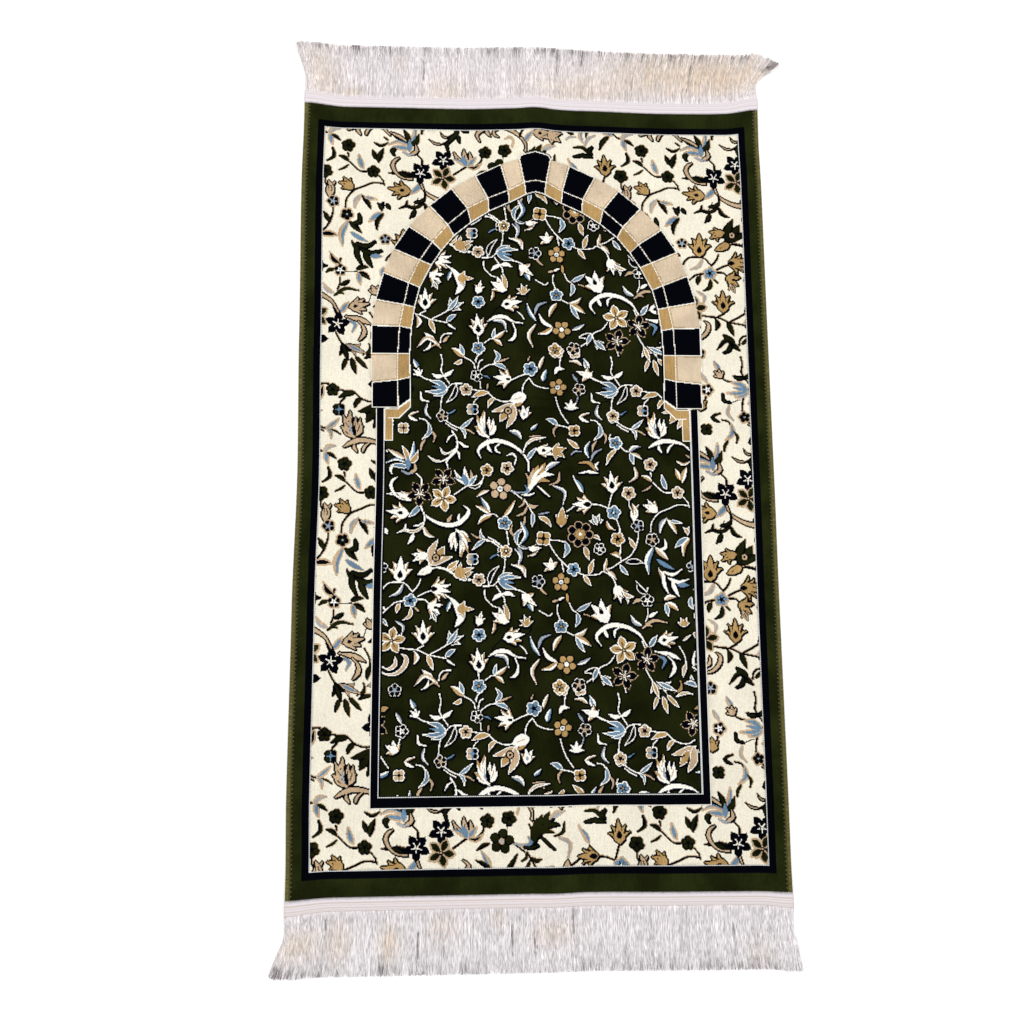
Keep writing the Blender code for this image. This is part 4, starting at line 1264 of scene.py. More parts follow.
def with_skirt(points, faces, yarns, canvas, places):
    """Turn the surface down along its edges: into the ground weave, or over the rug's rim."""
    half_edges = {}
    for face, yarn in zip(faces, yarns):
        for start, end in zip(face, face[1:] + face[:1]):
            half_edges[start, end] = yarn
    border = {edge: yarn for edge, yarn in half_edges.items() if edge[::-1] not in half_edges}
    rim = sorted({corner for edge in border for corner in edge})
    below = {corner: len(points) + index for index, corner in enumerate(rim)}
    flat_x = canvas.column_edges[places[rim, 1]] * MM
    flat_y = canvas.row_edges[places[rim, 0]] * MM
    at_side = np.abs(flat_x) > PILE_EDGE - AT_RIM
    at_end = np.abs(flat_y) > HALF_LENGTH - AT_RIM
    height = np.where(at_side | at_end, SKIRT_FOOT, THICKNESS - SKIRT_INSIDE)
    flat_x = flat_x + np.where(at_side, np.sign(flat_x) * SKIRT_OUT, 0.0)
    flat_y = flat_y + np.where(at_end, np.sign(flat_y) * SKIRT_OUT, 0.0)
    points = np.concatenate([points, placed(flat_x, flat_y, height)])
    weave = np.stack([
        np.concatenate([canvas.column_edges[places[:, 1]], flat_x / MM]) / KNOT_WIDTH,
        np.concatenate([canvas.row_edges[places[:, 0]], flat_y / MM]) / KNOT_LENGTH,
    ], -1)
    for (start, end), yarn in border.items():
        faces.append([end, start, below[start], below[end]])
        yarns.append(yarn)
    return points, faces, yarns, weave


# --- making pieces ---------------------------------------------------------------------------
def add_piece(name, points, faces, materials, slots=None):
    mesh = bpy.data.meshes.new(name)
    mesh.from_pydata(np.asarray(points).tolist(), [], faces)
    for material in materials:
        mesh.materials.append(material)
    if slots is not None:
        mesh.polygons.foreach_set("material_index", slots)
    mesh.shade_smooth()
    piece = bpy.data.objects.new(name, mesh)
    bpy.context.scene.collection.objects.link(piece)
    return piece


def add_uv(piece, name, coordinates):
    """A UV map from one pair of numbers for each vertex."""
    mesh = piece.data
    corners = np.empty(len(mesh.loops), np.int64)
    mesh.loops.foreach_get("vertex_index", corners)
    layer = mesh.uv_layers.new(name=name)
    layer.data.foreach_set("uv", np.asarray(coordinates, np.float32)[corners].ravel())


def add_tone(mesh, name, values):
    """A number for each vertex, which a material or a node tree reads by name."""
    attribute = mesh.attributes.new(name, "FLOAT", "POINT")
    attribute.data.foreach_set("value", np.asarray(values, np.float32))


def loft(rings, closed_ends=True):
    """Faces that skin rings of equally many points, rings[k, index]."""
    count, size = rings.shape[:2]
    faces = []
    for ring in range(count - 1):
        low, high = ring * size, (ring + 1) * size
        for index in range(size):
            after = (index + 1) % size
            faces.append([low + index, low + after, high + after, high + index])
    if closed_ends:
        faces.append(list(range(size))[::-1])
        faces.append(list(range((count - 1) * size, count * size)))
    return rings.reshape(-1, 3), faces


def add_shell(name, points, faces, material, flat=True):
    """A piece that is closed all around, with every face to the outside."""
    piece = add_piece(name, points, faces, [material])
    shell = bmesh.new()
    shell.from_mesh(piece.data)
    bmesh.ops.recalc_face_normals(shell, faces=shell.faces)
    shell.to_mesh(piece.data)
    shell.free()
    if flat:
        piece.data.shade_flat()
    return piece


# --- node helpers ----------------------------------------------------------------------------
def set_inputs(tree, node, inputs):
    """Give a node's inputs, by name or number, a value each, or link a socket to them."""
    for key, value in dict(inputs).items():
        if isinstance(value, bpy.types.NodeSocket):
            tree.links.new(value, node.inputs[key])
        else:
            node.inputs[key].default_value = value


def add_node(tree, kind, inputs=(), **settings):
    node = tree.nodes.new(kind)
    for name, value in settings.items():
        setattr(node, name, value)
    set_inputs(tree, node, inputs)
    return node


def add_sockets(tree, way, sockets):
    """Named inputs or outputs of a tree, given as (name, kind) or (name, kind, default)."""
    for name, kind, *default in sockets:
        socket = tree.interface.new_socket(name, in_out=way, socket_type="NodeSocket" + kind)
        if default:
            socket.default_value = default[0]


def calculate(tree, operation, *values):
    node = add_node(tree, "ShaderNodeMath", dict(enumerate(values)), operation=operation)
    return node.outputs[0]


def remap(tree, value, low, high, from_low=0.0, from_high=1.0):
    """A value from one range moved to another, and held between its ends."""
    return add_node(tree, "ShaderNodeMapRange", {
        "Value": value, "From Min": from_low, "From Max": from_high, "To Min": low, "To Max": high,
    }).outputs["Result"]


def around_one(tree, amount):
    """The two numbers as far below and above 1 as amount says."""
    return calculate(tree, "SUBTRACT", 1.0, amount), calculate(tree, "ADD", 1.0, amount)


def noise(tree, place, scale, detail, **settings):
    inputs = {"Vector": place, "Scale": scale, "Detail": detail}
    return add_node(tree, "ShaderNodeTexNoise", inputs, **settings).outputs[0]


def raised(tree, height, strength, depth):
    """The normal of a surface that stands out as its height says."""
    inputs = {"Height": height, "Strength": strength, "Distance": depth}
    return add_node(tree, "ShaderNodeBump", inputs).outputs["Normal"]


def mixed(tree, share, first, second):
    inputs = {0: share, 6: first, 7: second}
    return add_node(tree, "ShaderNodeMix", inputs, data_type="RGBA").outputs[2]


def start_tree(name, inputs):
    """A node tree that takes geometry, some named inputs and a material."""
    tree = bpy.data.node_groups.new(name, "GeometryNodeTree")
    add_sockets(tree, "INPUT", [("Geometry", "Geometry"), *inputs, ("Material", "Material")])
    add_sockets(tree, "OUTPUT", [("Geometry", "Geometry")])
    return tree, tree.nodes.new("NodeGroupInput").outputs


def finish_tree(tree, geometry, material):
    """Every tree ends in real geometry that has its material."""
    real = add_node(tree, "GeometryNodeRealizeInstances", {"Geometry": geometry})
    dressed = add_node(tree, "GeometryNodeSetMaterial", {
        "Geometry": real.outputs["Geometry"], "Material": material,
    })
    result = tree.nodes.new("NodeGroupOutput")
    tree.links.new(dressed.outputs["Geometry"], result.inputs["Geometry"])
    return tree


TURN_SPREAD = 60.0           # radians by which strands differ in how they are turned


def yarn_tree():
    """Yarn that follows guide lines: tapered, uneven, twisted and closed at its ends."""
    tree, source = start_tree("Yarn on guides", [
        ("Radius", "Float", 0.5 * MM),
        ("Tip Radius", "Float", 0.3 * MM),
        ("Unevenness", "Float", 0.2),
        ("Sides", "Int", 3),
        ("Twist", "Float", 6.0),
        ("Seed", "Int", 7),
    ])
    curves = add_node(tree, "GeometryNodeMeshToCurve", {"Mesh": source["Geometry"]})
    along = add_node(tree, "GeometryNodeSplineParameter").outputs["Factor"]
    place = add_node(tree, "GeometryNodeInputIndex").outputs["Index"]
    low, high = around_one(tree, source["Unevenness"])
    uneven = add_node(tree, "FunctionNodeRandomValue", {
        2: low, 3: high, "ID": place, "Seed": source["Seed"],
    }, data_type="FLOAT").outputs[1]
    taper = remap(tree, along, source["Radius"], source["Tip Radius"])
    own = add_node(tree, "GeometryNodeInputNamedAttribute", {"Name": "tone"}).outputs["Attribute"]
    turn = calculate(tree, "MULTIPLY_ADD", along, source["Twist"], calculate(
        tree, "MULTIPLY", own, TURN_SPREAD))
    twisted = add_node(tree, "GeometryNodeSetCurveTilt", {
        "Curve": curves.outputs["Curve"], "Tilt": turn,
    })
    profile = add_node(tree, "GeometryNodeCurvePrimitiveCircle", {
        "Radius": 1.0, "Resolution": source["Sides"],
    })
    skin = add_node(tree, "GeometryNodeCurveToMesh", {
        "Curve": twisted.outputs["Curve"], "Profile Curve": profile.outputs["Curve"],
        "Scale": calculate(tree, "MULTIPLY", taper, uneven), "Fill Caps": True,
    })
    return finish_tree(tree, skin.outputs["Mesh"], source["Material"])


def grow(name, guides, tree, material, values):
    """Run a node tree over guide geometry and keep the result as a plain mesh."""
    holder = bpy.data.objects.new(name + "_guides", guides)
    bpy.context.scene.collection.objects.link(holder)
    modifier = holder.modifiers.new("Grow", "NODES")
    modifier.node_group = tree
    for item in tree.interface.items_tree:
        if item.in_out == "INPUT" and item.name in values:
            modifier[item.identifier] = values[item.name]
        elif item.in_out == "INPUT" and item.name == "Material":
            modifier[item.identifier] = material
    graph = bpy.context.evaluated_depsgraph_get()
    mesh = bpy.data.meshes.new_from_object(holder.evaluated_get(graph), depsgraph=graph)
    if not mesh.polygons:
        raise RuntimeError(name + ": its node tree made nothing")
    mesh.name = name
    holder.modifiers.remove(modifier)
    bpy.data.objects.remove(holder)
    bpy.data.meshes.remove(guides)
    piece = bpy.data.objects.new(name, mesh)
    bpy.context.scene.collection.objects.link(piece)
    return piece


def guide_lines(name, lines, **tones):
    """Guide lines of equally many points as a mesh of edges, with numbers for each line."""
    count, steps = lines.shape[:2]
    mesh = bpy.data.meshes.new(name)
    first = np.arange(count)[:, None] * steps + np.arange(steps - 1)
    edges = np.stack([first.ravel(), first.ravel() + 1], -1)
    mesh.from_pydata(lines.reshape(-1, 3).tolist(), edges.tolist(), [])
    for tone, values in tones.items():
        add_tone(mesh, tone, np.broadcast_to(values, (count, steps)).ravel())
    return mesh


# --- materials -------------------------------------------------------------------------------
LIGHT_ON_CLOTH = 1.05        # how much brighter the stage shows a colour than it is


def linear(red, green, blue):
    """A colour as a screen shows it, 0 to 255, as the light it stands for."""
    share = np.array((red, green, blue)) / 255.0
    light = np.where(share <= 0.04045, share / 12.92, ((share + 0.055) / 1.055) ** 2.4)
    return tuple(float(value) / LIGHT_ON_CLOTH for value in light)


def start_group(name, inputs):
    """A group of shader nodes with named inputs, which gives what a shader takes."""
    tree = bpy.data.node_groups.new(name, "ShaderNodeTree")
    add_sockets(tree, "INPUT", inputs)
    add_sockets(tree, "OUTPUT", [("Color", "Color"), ("Roughness", "Float"), ("Normal", "Vector")])
    return tree, tree.nodes.new("NodeGroupInput").outputs


def finish_group(tree, color, roughness, normal):
    result = {"Color": color, "Roughness": roughness, "Normal": normal}
    add_node(tree, "NodeGroupOutput", result)
    return tree


def shade(tree, color, value):
    """A colour made lighter or darker by a factor."""
    inputs = {0: color, "Scale": value}
    return add_node(tree, "ShaderNodeVectorMath", inputs, operation="SCALE").outputs["Vector"]


STREAK_STRETCH = (0.75, 0.05, 1.0)      # knots to noise: narrow across, long lengthwise
STREAK_RANGE = (0.3, 0.7)               # between which a streak goes from dark to light
# patches of painted sheen, where the nap is brushed another way
PATCH_SCALE, PATCH_DETAIL = 0.022, 3.0
PATCH_RANGE = (0.35, 0.65)
KNOT_ROUGHNESS = (0.82, 0.98)
KNOT_SHOULDER = 0.6                     # how squarely a knot's tip falls off lengthwise
KNOT_UNEVEN = 0.5                       # how much knots differ in height
KNOT_DEPTH = 0.35 * MM


def knot_group():
    """Cut knots: each a little lighter or darker, in faint lengthwise streaks and patches of painted
    sheen from nap brushed different ways, with its tip standing proud of the ground weave."""
    tree, source = start_group("Cut knots", [
        ("Color", "Color", (0.5, 0.5, 0.5, 1.0)),
        ("Knot Tone", "Float", 0.20),
        ("Streak Tone", "Float", 0.15),
        ("Patch Tone", "Float", 0.1),
        ("Checked Tone", "Float", 0.0),
        ("Relief", "Float", 0.5),
    ])
    knots = add_node(tree, "ShaderNodeUVMap", uv_map="Weave").outputs["UV"]
    cell = add_node(tree, "ShaderNodeVectorMath", {0: knots}, operation="FLOOR").outputs["Vector"]
    own = add_node(
        tree, "ShaderNodeTexWhiteNoise", {"Vector": cell}, noise_dimensions="2D").outputs["Value"]
    stretched = add_node(tree, "ShaderNodeMapping", {"Vector": knots, "Scale": STREAK_STRETCH})
    streaks = noise(tree, stretched.outputs["Vector"], 1.0, 2.0, noise_dimensions="2D")
    patches = noise(tree, knots, PATCH_SCALE, PATCH_DETAIL, noise_dimensions="2D")
    knot_tone = remap(tree, own, *around_one(tree, source["Knot Tone"]))
    streak_tone = remap(tree, streaks, *around_one(tree, source["Streak Tone"]), *STREAK_RANGE)
    patch_tone = remap(tree, patches, *around_one(tree, source["Patch Tone"]), *PATCH_RANGE)
    parts = add_node(tree, "ShaderNodeSeparateXYZ", {"Vector": knots}).outputs
    across, lengthwise = (
        calculate(tree, "SINE", calculate(tree, "MULTIPLY", parts[axis], math.pi))
        for axis in ("X", "Y"))
    turn = calculate(tree, "SIGN", calculate(tree, "MULTIPLY", across, lengthwise))
    checked_tone = calculate(tree, "MULTIPLY_ADD", turn, source["Checked Tone"], 1.0)
    tone = knot_tone
    for other in (streak_tone, patch_tone, checked_tone):
        tone = calculate(tree, "MULTIPLY", tone, other)
    dome = calculate(tree, "MULTIPLY", calculate(tree, "ABSOLUTE", across), calculate(
        tree, "POWER", calculate(tree, "ABSOLUTE", lengthwise), KNOT_SHOULDER))
    height = calculate(tree, "MULTIPLY_ADD", own, KNOT_UNEVEN, dome)
    return finish_group(
        tree, shade(tree, source["Color"], tone), remap(tree, own, *KNOT_ROUGHNESS),
        raised(tree, height, source["Relief"], KNOT_DEPTH))


PLY_TONES = (0.88, 1.12)
FLECK_STRETCH = (1.0, 0.1, 1.0)         # flecks lie along the yarn of the fringe
FLECK_SCALE = 1000.0
DEEPEST_SHADE = 0.8                           # a tone this far below 0 shows the painted shade colour alone
YARN_ROUGHNESS = (0.6, 0.9)
PLY_RELIEF, PLY_DEPTH = 0.35, 0.2 * MM


def spun_group():
    """Spun yarn: a tone for each strand, a second colour where it is tinted (on the heading tapes,
    painted shade in their grooves), a colour of painted shade where its tone is below 0, and fine plies."""
    tree, source = start_group("Spun yarn", [
        ("Color", "Color", (0.5, 0.5, 0.5, 1.0)),
        ("Shade", "Color", (0.3, 0.3, 0.3, 1.0)),
        # the colour of the painted shade in the fringe's gaps and at its tips
        ("Deep", "Color", (0.17, 0.07, 0.09, 1.0)),
        ("Tone Spread", "Float", 0.2),
        ("Fleck Tone", "Float", 0.0),
        ("Ply Scale", "Float", 900.0),
    ])
    tone, tint = (
        add_node(tree, "ShaderNodeAttribute", attribute_name=name).outputs["Fac"]
        for name in ("tone", "shade"))
    place = add_node(tree, "ShaderNodeTexCoord").outputs["Object"]
    plies = noise(tree, place, source["Ply Scale"], 2.0)
    low = calculate(tree, "SUBTRACT", 1.0, source["Tone Spread"])
    range_of_tones = calculate(tree, "MULTIPLY", source["Tone Spread"], 2.0)
    own = calculate(tree, "MULTIPLY_ADD", tone, range_of_tones, low)
    factor = calculate(tree, "MULTIPLY", own, remap(tree, plies, *PLY_TONES))
    lengthwise = add_node(
        tree, "ShaderNodeVectorMath", {0: place, 1: FLECK_STRETCH}, operation="MULTIPLY")
    flecks = noise(tree, lengthwise.outputs[0], FLECK_SCALE, 1.0)
    centred = calculate(tree, "SUBTRACT", flecks, 0.5)
    uneven = calculate(tree, "MULTIPLY_ADD", centred, source["Fleck Tone"], 1.0)
    factor = calculate(tree, "MULTIPLY", factor, uneven)
    color = shade(tree, mixed(tree, tint, source["Color"], source["Shade"]), factor)
    # painted shade: below 0, a strand's tone turns its colour towards the painted shade colour
    depth = remap(tree, calculate(tree, "MULTIPLY", tone, -1.0), 0.0, DEEPEST_SHADE)
    return finish_group(
        tree, mixed(tree, depth, color, source["Deep"]), remap(tree, plies, *YARN_ROUGHNESS),
        raised(tree, plies, PLY_RELIEF, PLY_DEPTH))


def dress(material, inputs):
    """Set inputs of a material's shader, or connect them, by name."""
    nodes = material.node_tree
    set_inputs(nodes, nodes.nodes["Principled BSDF"], inputs)


def use_group(material, tree, inputs):
    """Place a shader group before the material's shader and connect what it puts out."""
    group = add_node(material.node_tree, "ShaderNodeGroup", inputs, node_tree=tree).outputs
    dress(material, {
        "Base Color": group["Color"], "Roughness": group["Roughness"], "Normal": group["Normal"],
    })


SHEEN_ROUGHNESS = 0.6


def new_material(name, specular, sheen=0.0):
    material = bpy.data.materials.new(name)
    material.use_nodes = True
    dress(material, {
        "Sheen Weight": sheen, "Sheen Roughness": SHEEN_ROUGHNESS, "Specular IOR Level": specular,
    })
    return material


# how much stronger the patches of painted sheen, and the streaks, show in some yarns
SHEEN_PATCHY = {"green": 3.0, "margin": 3.0, "cream": 0.3, "white": 0.3}
STREAKY = {"cream": 0.35, "white": 0.35, "sand": 0.5}


def pile_material(name, settings, knots):
    """The pile where one yarn shows: patches of painted sheen from brushed nap on the greens, even
    pale grounds, and knots that alternate in tone in the arch's sand-coloured blocks."""
    material = new_material("Pile " + name, specular=0.02)
    use_group(material, knots, {
        "Color": (*getattr(settings, name), 1.0),
        "Knot Tone": settings.knot_tone * STREAKY.get(name, 1.0) ** 0.5,
        "Streak Tone": settings.streak_tone * STREAKY.get(name, 1.0),
        "Patch Tone": settings.patch_tone * SHEEN_PATCHY.get(name, 1.0),
        "Checked Tone": settings.beat_tone if name == "sand" else 0.0,
    })
    return material


def spun_material(name, color, other, spun, spread, sheen=0.05, flecks=0.0):
    material = new_material(name, specular=0.2, sheen=sheen)
    use_group(material, spun, {
        "Color": (*color, 1.0), "Shade": (*other, 1.0), "Tone Spread": spread,
        "Fleck Tone": flecks,
    })
    return material


# --- the rug's body --------------------------------------------------------------------------
SLAB_PITCH = 12.0 * MM
SLAB_BELOW_PILE = 0.6 * MM
SLAB_INSET = 5.0 * MM        # from the slab's rim to its first even station
SLAB_STEP = 0.1 * MM         # width of the step from the slab to a tongue or a selvedge
TONGUE_LOW = BINDING_WALL + GAP
TONGUE_HIGH = BINDING_HEIGHT - BINDING_WALL - GAP


def spaced(low, high, pitch):
    return np.linspace(low, high, max(1, round((high - low) / pitch)) + 1)


def make_slab(material):
    """The ground weave under the pile, with a tongue along each side and a selvedge at each
    end, closed all around."""
    inner = spaced(-PILE_EDGE + SLAB_INSET, PILE_EDGE - SLAB_INSET, SLAB_PITCH)
    columns = np.concatenate([[-PILE_EDGE + SLAB_STEP], inner, [PILE_EDGE - SLAB_STEP]])
    tongue = HALF_WIDTH - BINDING_WIDTH + EDGE_TONGUE_WIDTH
    stations = spaced(-HALF_LENGTH + SLAB_INSET, HALF_LENGTH - SLAB_INSET, SLAB_PITCH)
    ends = np.array([HALF_LENGTH - SLAB_STEP, HALF_LENGTH, HALF_LENGTH + SELVEDGE_LENGTH])
    rings = []
    for y in np.concatenate([-ends[::-1], stations, ends]):
        selvedge = abs(y) > HALF_LENGTH - SLAB_STEP / 2
        side = [(PILE_EDGE, 0.0), (PILE_EDGE, SELVEDGE_THICKNESS)] if selvedge else [
            (tongue, TONGUE_LOW), (tongue, TONGUE_HIGH)]
        top = np.full(len(columns), SELVEDGE_THICKNESS) if selvedge else (
            pile_height(columns, np.full(len(columns), y)) - SLAB_BELOW_PILE)
        outline = [(x, 0.0) for x in columns] + side
        outline += [(x, z) for x, z in zip(columns[::-1], top[::-1])]
        outline += [(-x, z) for x, z in side[::-1]]
        flat = np.array(outline)
        rings.append(placed(flat[:, 0], np.full(len(flat), y), flat[:, 1]))
    points, faces = loft(np.array(rings), closed_ends=False)
    size, across = len(rings[0]), len(columns)
    for base, flip in ((0, False), ((len(rings) - 1) * size, True)):
        low = list(range(across))
        high = list(range(across + 2, 2 * across + 2))[::-1]
        caps = [[low[k], high[k], high[k + 1], low[k + 1]] for k in range(across - 1)]
        caps.append([across - 1, across + 2, across + 1, across])
        caps.append([0, size - 1, size - 2, 2 * across + 1])
        faces += [[base + corner for corner in (cap[::-1] if flip else cap)] for cap in caps]
    return add_shell("rug_body", points, faces, material)


WEFTS, WARPS = ("Y", 420.0, 1.2), ("X", 210.0, 0.8)      # direction, scale and distortion
WEAVE_DARK, WEAVE_PALE = linear(120, 98, 66), linear(196, 172, 130)
WEAVE_ROUGHNESS = (0.75, 0.95)
WEAVE_RELIEF, WEAVE_DEPTH = 0.6, 0.4 * MM


def slab_material():
    """Undyed ground weave: plain-woven wefts in rows."""
    material = new_material("Ground weave", specular=0.15)
    nodes = material.node_tree
    place = add_node(nodes, "ShaderNodeTexCoord").outputs["Object"]
    rows, columns = (
        add_node(nodes, "ShaderNodeTexWave", {
            "Vector": place, "Scale": scale, "Distortion": distortion, "Detail": 1.0,
        }, bands_direction=direction).outputs["Fac"]
        for direction, scale, distortion in (WEFTS, WARPS))
    weave = calculate(nodes, "MULTIPLY", rows, columns)
    dress(material, {
        "Base Color": mixed(nodes, weave, (*WEAVE_DARK, 1.0), (*WEAVE_PALE, 1.0)),
        "Normal": raised(nodes, weave, WEAVE_RELIEF, WEAVE_DEPTH),
        "Roughness": remap(nodes, weave, *WEAVE_ROUGHNESS),
    })
    return material


# --- overcast sides --------------------------------------------------------------------------
CORE_INSET = 0.35 * MM       # how far the core lies within the solid, under its turns of yarn
CORE_CORNER = 1.2 * MM
TURN_SLANT, TURN_JITTER = 0.9, 0.06      # shares of the pitch along the side
# stitches beside the pile: one for so many turns, and in millimetres where it starts, how far
# it reaches inwards and along, how high it arches and how deep its ends sink into the pile
STITCH_EVERY = 3
STITCH_START, STITCH_IN, STITCH_ALONG = 0.9, 1.3, 0.7
STITCH_ARCH, STITCH_SINK = 0.45, 0.2


def binding_outline(inset, corner):
    """The overcasting's closed cross-section, as a channel round the trimmed edge."""
    inner = HALF_WIDTH - BINDING_WIDTH
    slot_end = inner + EDGE_TONGUE_WIDTH + GAP
    return np.array([
        (inner, inset),
        (HALF_WIDTH - corner, inset),
        (HALF_WIDTH - inset, corner),
        (HALF_WIDTH - inset, BINDING_HEIGHT - 1.5 * corner),
        (HALF_WIDTH - corner, BINDING_HEIGHT - 0.4 * corner - inset),
        (HALF_WIDTH - 0.5 * BINDING_WIDTH, BINDING_HEIGHT - inset),
        (inner, BINDING_HEIGHT - 0.3 * corner - inset),
        (inner, BINDING_HEIGHT - BINDING_WALL),
        (slot_end, BINDING_HEIGHT - BINDING_WALL),
        (slot_end, BINDING_WALL),
        (inner, BINDING_WALL),
    ])


def make_side_core(name, side, material):
    outline = binding_outline(CORE_INSET, CORE_CORNER)
    rings = [
        placed(side * outline[:, 0], np.full(len(outline), y), outline[:, 1])
        for y in spaced(-HALF_LENGTH, HALF_LENGTH, SLAB_PITCH)
    ]
    return add_shell(name, *loft(np.array(rings)), material)


def overcast_guides(name, side, pitch, radius):
    """Turns of yarn over the trimmed edge, each leaning a little along the side."""
    inner = HALF_WIDTH - BINDING_WIDTH
    low = radius * 1.02
    outline = np.array([
        (inner + 1.5 * MM, BINDING_HEIGHT - 1.0 * MM),
        (inner + 2.2 * MM, BINDING_HEIGHT - 0.3 * MM),
        (inner + 3.8 * MM, BINDING_HEIGHT - 0.15 * MM),
        (inner + 5.3 * MM, BINDING_HEIGHT - 0.9 * MM),
        (HALF_WIDTH - 0.35 * MM, BINDING_HEIGHT - 2.2 * MM),
        (HALF_WIDTH - 0.55 * MM, 1.3 * MM),
        (inner + 5.0 * MM, low + 0.15 * MM),
        (inner + 2.4 * MM, low),
        (inner + 0.5 * MM, low),
    ])
    random = np.random.default_rng(11 if side > 0 else 12)
    stations = spaced(-HALF_LENGTH + pitch / 2, HALF_LENGTH - pitch / 2, pitch)
    count, steps = len(stations), len(outline)
    slant = np.linspace(-0.5, 0.5, steps) * pitch * TURN_SLANT
    y = stations[:, None] + slant + random.normal(0.0, pitch * TURN_JITTER, (count, 1))
    y = np.clip(y, -HALF_LENGTH + radius, HALF_LENGTH - radius)
    x = side * np.broadcast_to(outline[:, 0], y.shape)
    z = np.broadcast_to(outline[:, 1], y.shape)
    tone = random.uniform(0.0, 1.0, (count, 1))
    turns = placed(x, y, z)
    share = np.linspace(0.0, 1.0, steps)
    flat_y = stations[::STITCH_EVERY, None] + (share - 0.5) * STITCH_ALONG * MM
    flat_x = side * (inner - (STITCH_START + STITCH_IN * share) * MM) + 0.0 * flat_y
    arch = (STITCH_ARCH * np.sin(math.pi * share) - STITCH_SINK) * MM
    stitches = placed(flat_x, flat_y, pile_height(flat_x, flat_y) + arch)
    lines = np.concatenate([turns, stitches])
    tones = np.concatenate([tone, 0.5 + 0.5 * tone[::STITCH_EVERY]])
    return guide_lines(name, lines, tone=tones, shade=np.arange(len(lines))[:, None] >= count)


# --- headings --------------------------------------------------------------------------------
TAPE_TOP = np.array([          # out from the rug's end, and height, in millimetres
    (0.5, 3.9), (2.6, 4.3), (5.0, 4.1), (5.9, 3.4), (6.8, 4.1), (8.0, 4.1), (8.6, 3.7), (9.2, 4.1),
    (11.4, 3.9), (12.2, 3.2), (13.0, 3.8), (13.9, 3.7), (14.4, 3.3), (14.9, 3.6), (16.0, 3.1),
    (16.8, 2.3), (17.6, 2.0), (19.4, 1.8), (21.7, 1.5),
])
TAPE_REST = np.array([(22.0, 1.2), (22.0, 0.0), (17.6, 0.0), (15.3, 1.9), (0.5, 1.9)])
TAPE_GROOVES = np.array([      # place across the tape, and how dark the painted shade in that groove shows
    (5.9, 1.0), (8.6, 0.45), (12.2, 0.7), (14.4, 0.4), (16.8, 0.9),
])
GROOVE_WIDTH = 0.55
TAPE_STATION = 2.4 * MM
SCALLOP = np.array([           # place in shares of the pitch, out and height in millimetres
    (-0.46, 2.2, 4.3), (-0.34, 0.2, 4.9), (0.0, -1.5, 5.2), (0.34, 0.2, 4.9), (0.46, 2.2, 4.3),
])


def make_tape(name, end, material):
    """The heading tape, with lengthwise grooves and a rounded outer edge."""
    outline = np.concatenate([curve_through(TAPE_TOP, 2), TAPE_REST]) * MM
    stations = spaced(-HALF_WIDTH, HALF_WIDTH, TAPE_STATION)
    rings = np.array([
        tape_points(end, np.full(len(outline), x), outline[:, 0], outline[:, 1])
        for x in stations
    ])
    piece = add_shell(name, *loft(rings), material, flat=False)
    # painted shade in the tape's grooves, which mixes in the groove colour
    away = (outline[:, :1] / MM - TAPE_GROOVES[:, 0]) / GROOVE_WIDTH
    groove = (TAPE_GROOVES[:, 1] * np.exp(-away ** 2)).max(1)
    add_tone(piece.data, "shade", np.tile(groove, len(stations)))
    add_tone(piece.data, "tone", np.full(len(outline) * len(stations), 0.5))
    return piece


def seam_guides(name, end, pitch):
    """The scalloped stitches that hold the tape to the rug's end."""
    stations = spaced(-HALF_WIDTH + pitch, HALF_WIDTH - pitch, pitch)
    x = stations[:, None] + SCALLOP[:, 0] * pitch
    out = np.broadcast_to(SCALLOP[:, 1] * MM, x.shape)
    height = np.broadcast_to(SCALLOP[:, 2] * MM, x.shape)
    tone = np.random.default_rng(5).uniform(0.3, 1.0, (len(stations), 1))
    return guide_lines(name, tape_points(end, x, out, height), tone=tone, shade=0.0)


# --- fringe ----------------------------------------------------------------------------------
FULL_TURN = 6.3
FRINGE_STEPS = 10
FRINGE_ROOT = 16.4 * MM      # the strands leave the tape where its last groove runs
FRINGE_REACH = {1.0: 1.04, -1.0: 1.02}   # how much further than the solids' locks, by end
END_STRANDS = 60             # more strands near each corner, where the fringe fans out
END_REACH = 22.0 * MM        # how far from the corner they start
LEAN_SPREAD = 2.6            # degrees
ROOT_INSET, ROOT_SPREAD = 0.8 * MM, 0.35 * MM
SHORTEST = 0.05              # share of its length that a strand may lack
# strands gather into locks: how wide these are in millimetres, how many are drawn, how
# strongly they pull, and the share of the length from which they do
LOCK_WIDTHS, LOCKS = (2.5, 8.0), 300
LOCK_PULL, LOCKED_FROM = 0.55, 0.55
WAVES, WAVE_DEPTHS = (3.0, 9.0), (0.2, 2.0)      # radians along a strand, millimetres at its tip
ROOT_HEIGHTS, REST_HEIGHT = (0.6, 2.4), 0.9      # millimetres over the cloth and the floor
BUNDLE_WIDTH, BUNDLES = 1.7 * MM, 500    # strands that lie together and catch the light alike
SHADED_TIPS, TIP_FROM, TIP_EASE = 0.25, 0.84, 0.1  # share of the bundles with painted shade at their tips, and where along it starts and eases in
# how strongly painted shade darkens the tips and the gaps between locks
TIP_SHADE, GAP_SHADE = 1.2, 2.3
WARM_SPREAD = (0.4, 1.0)
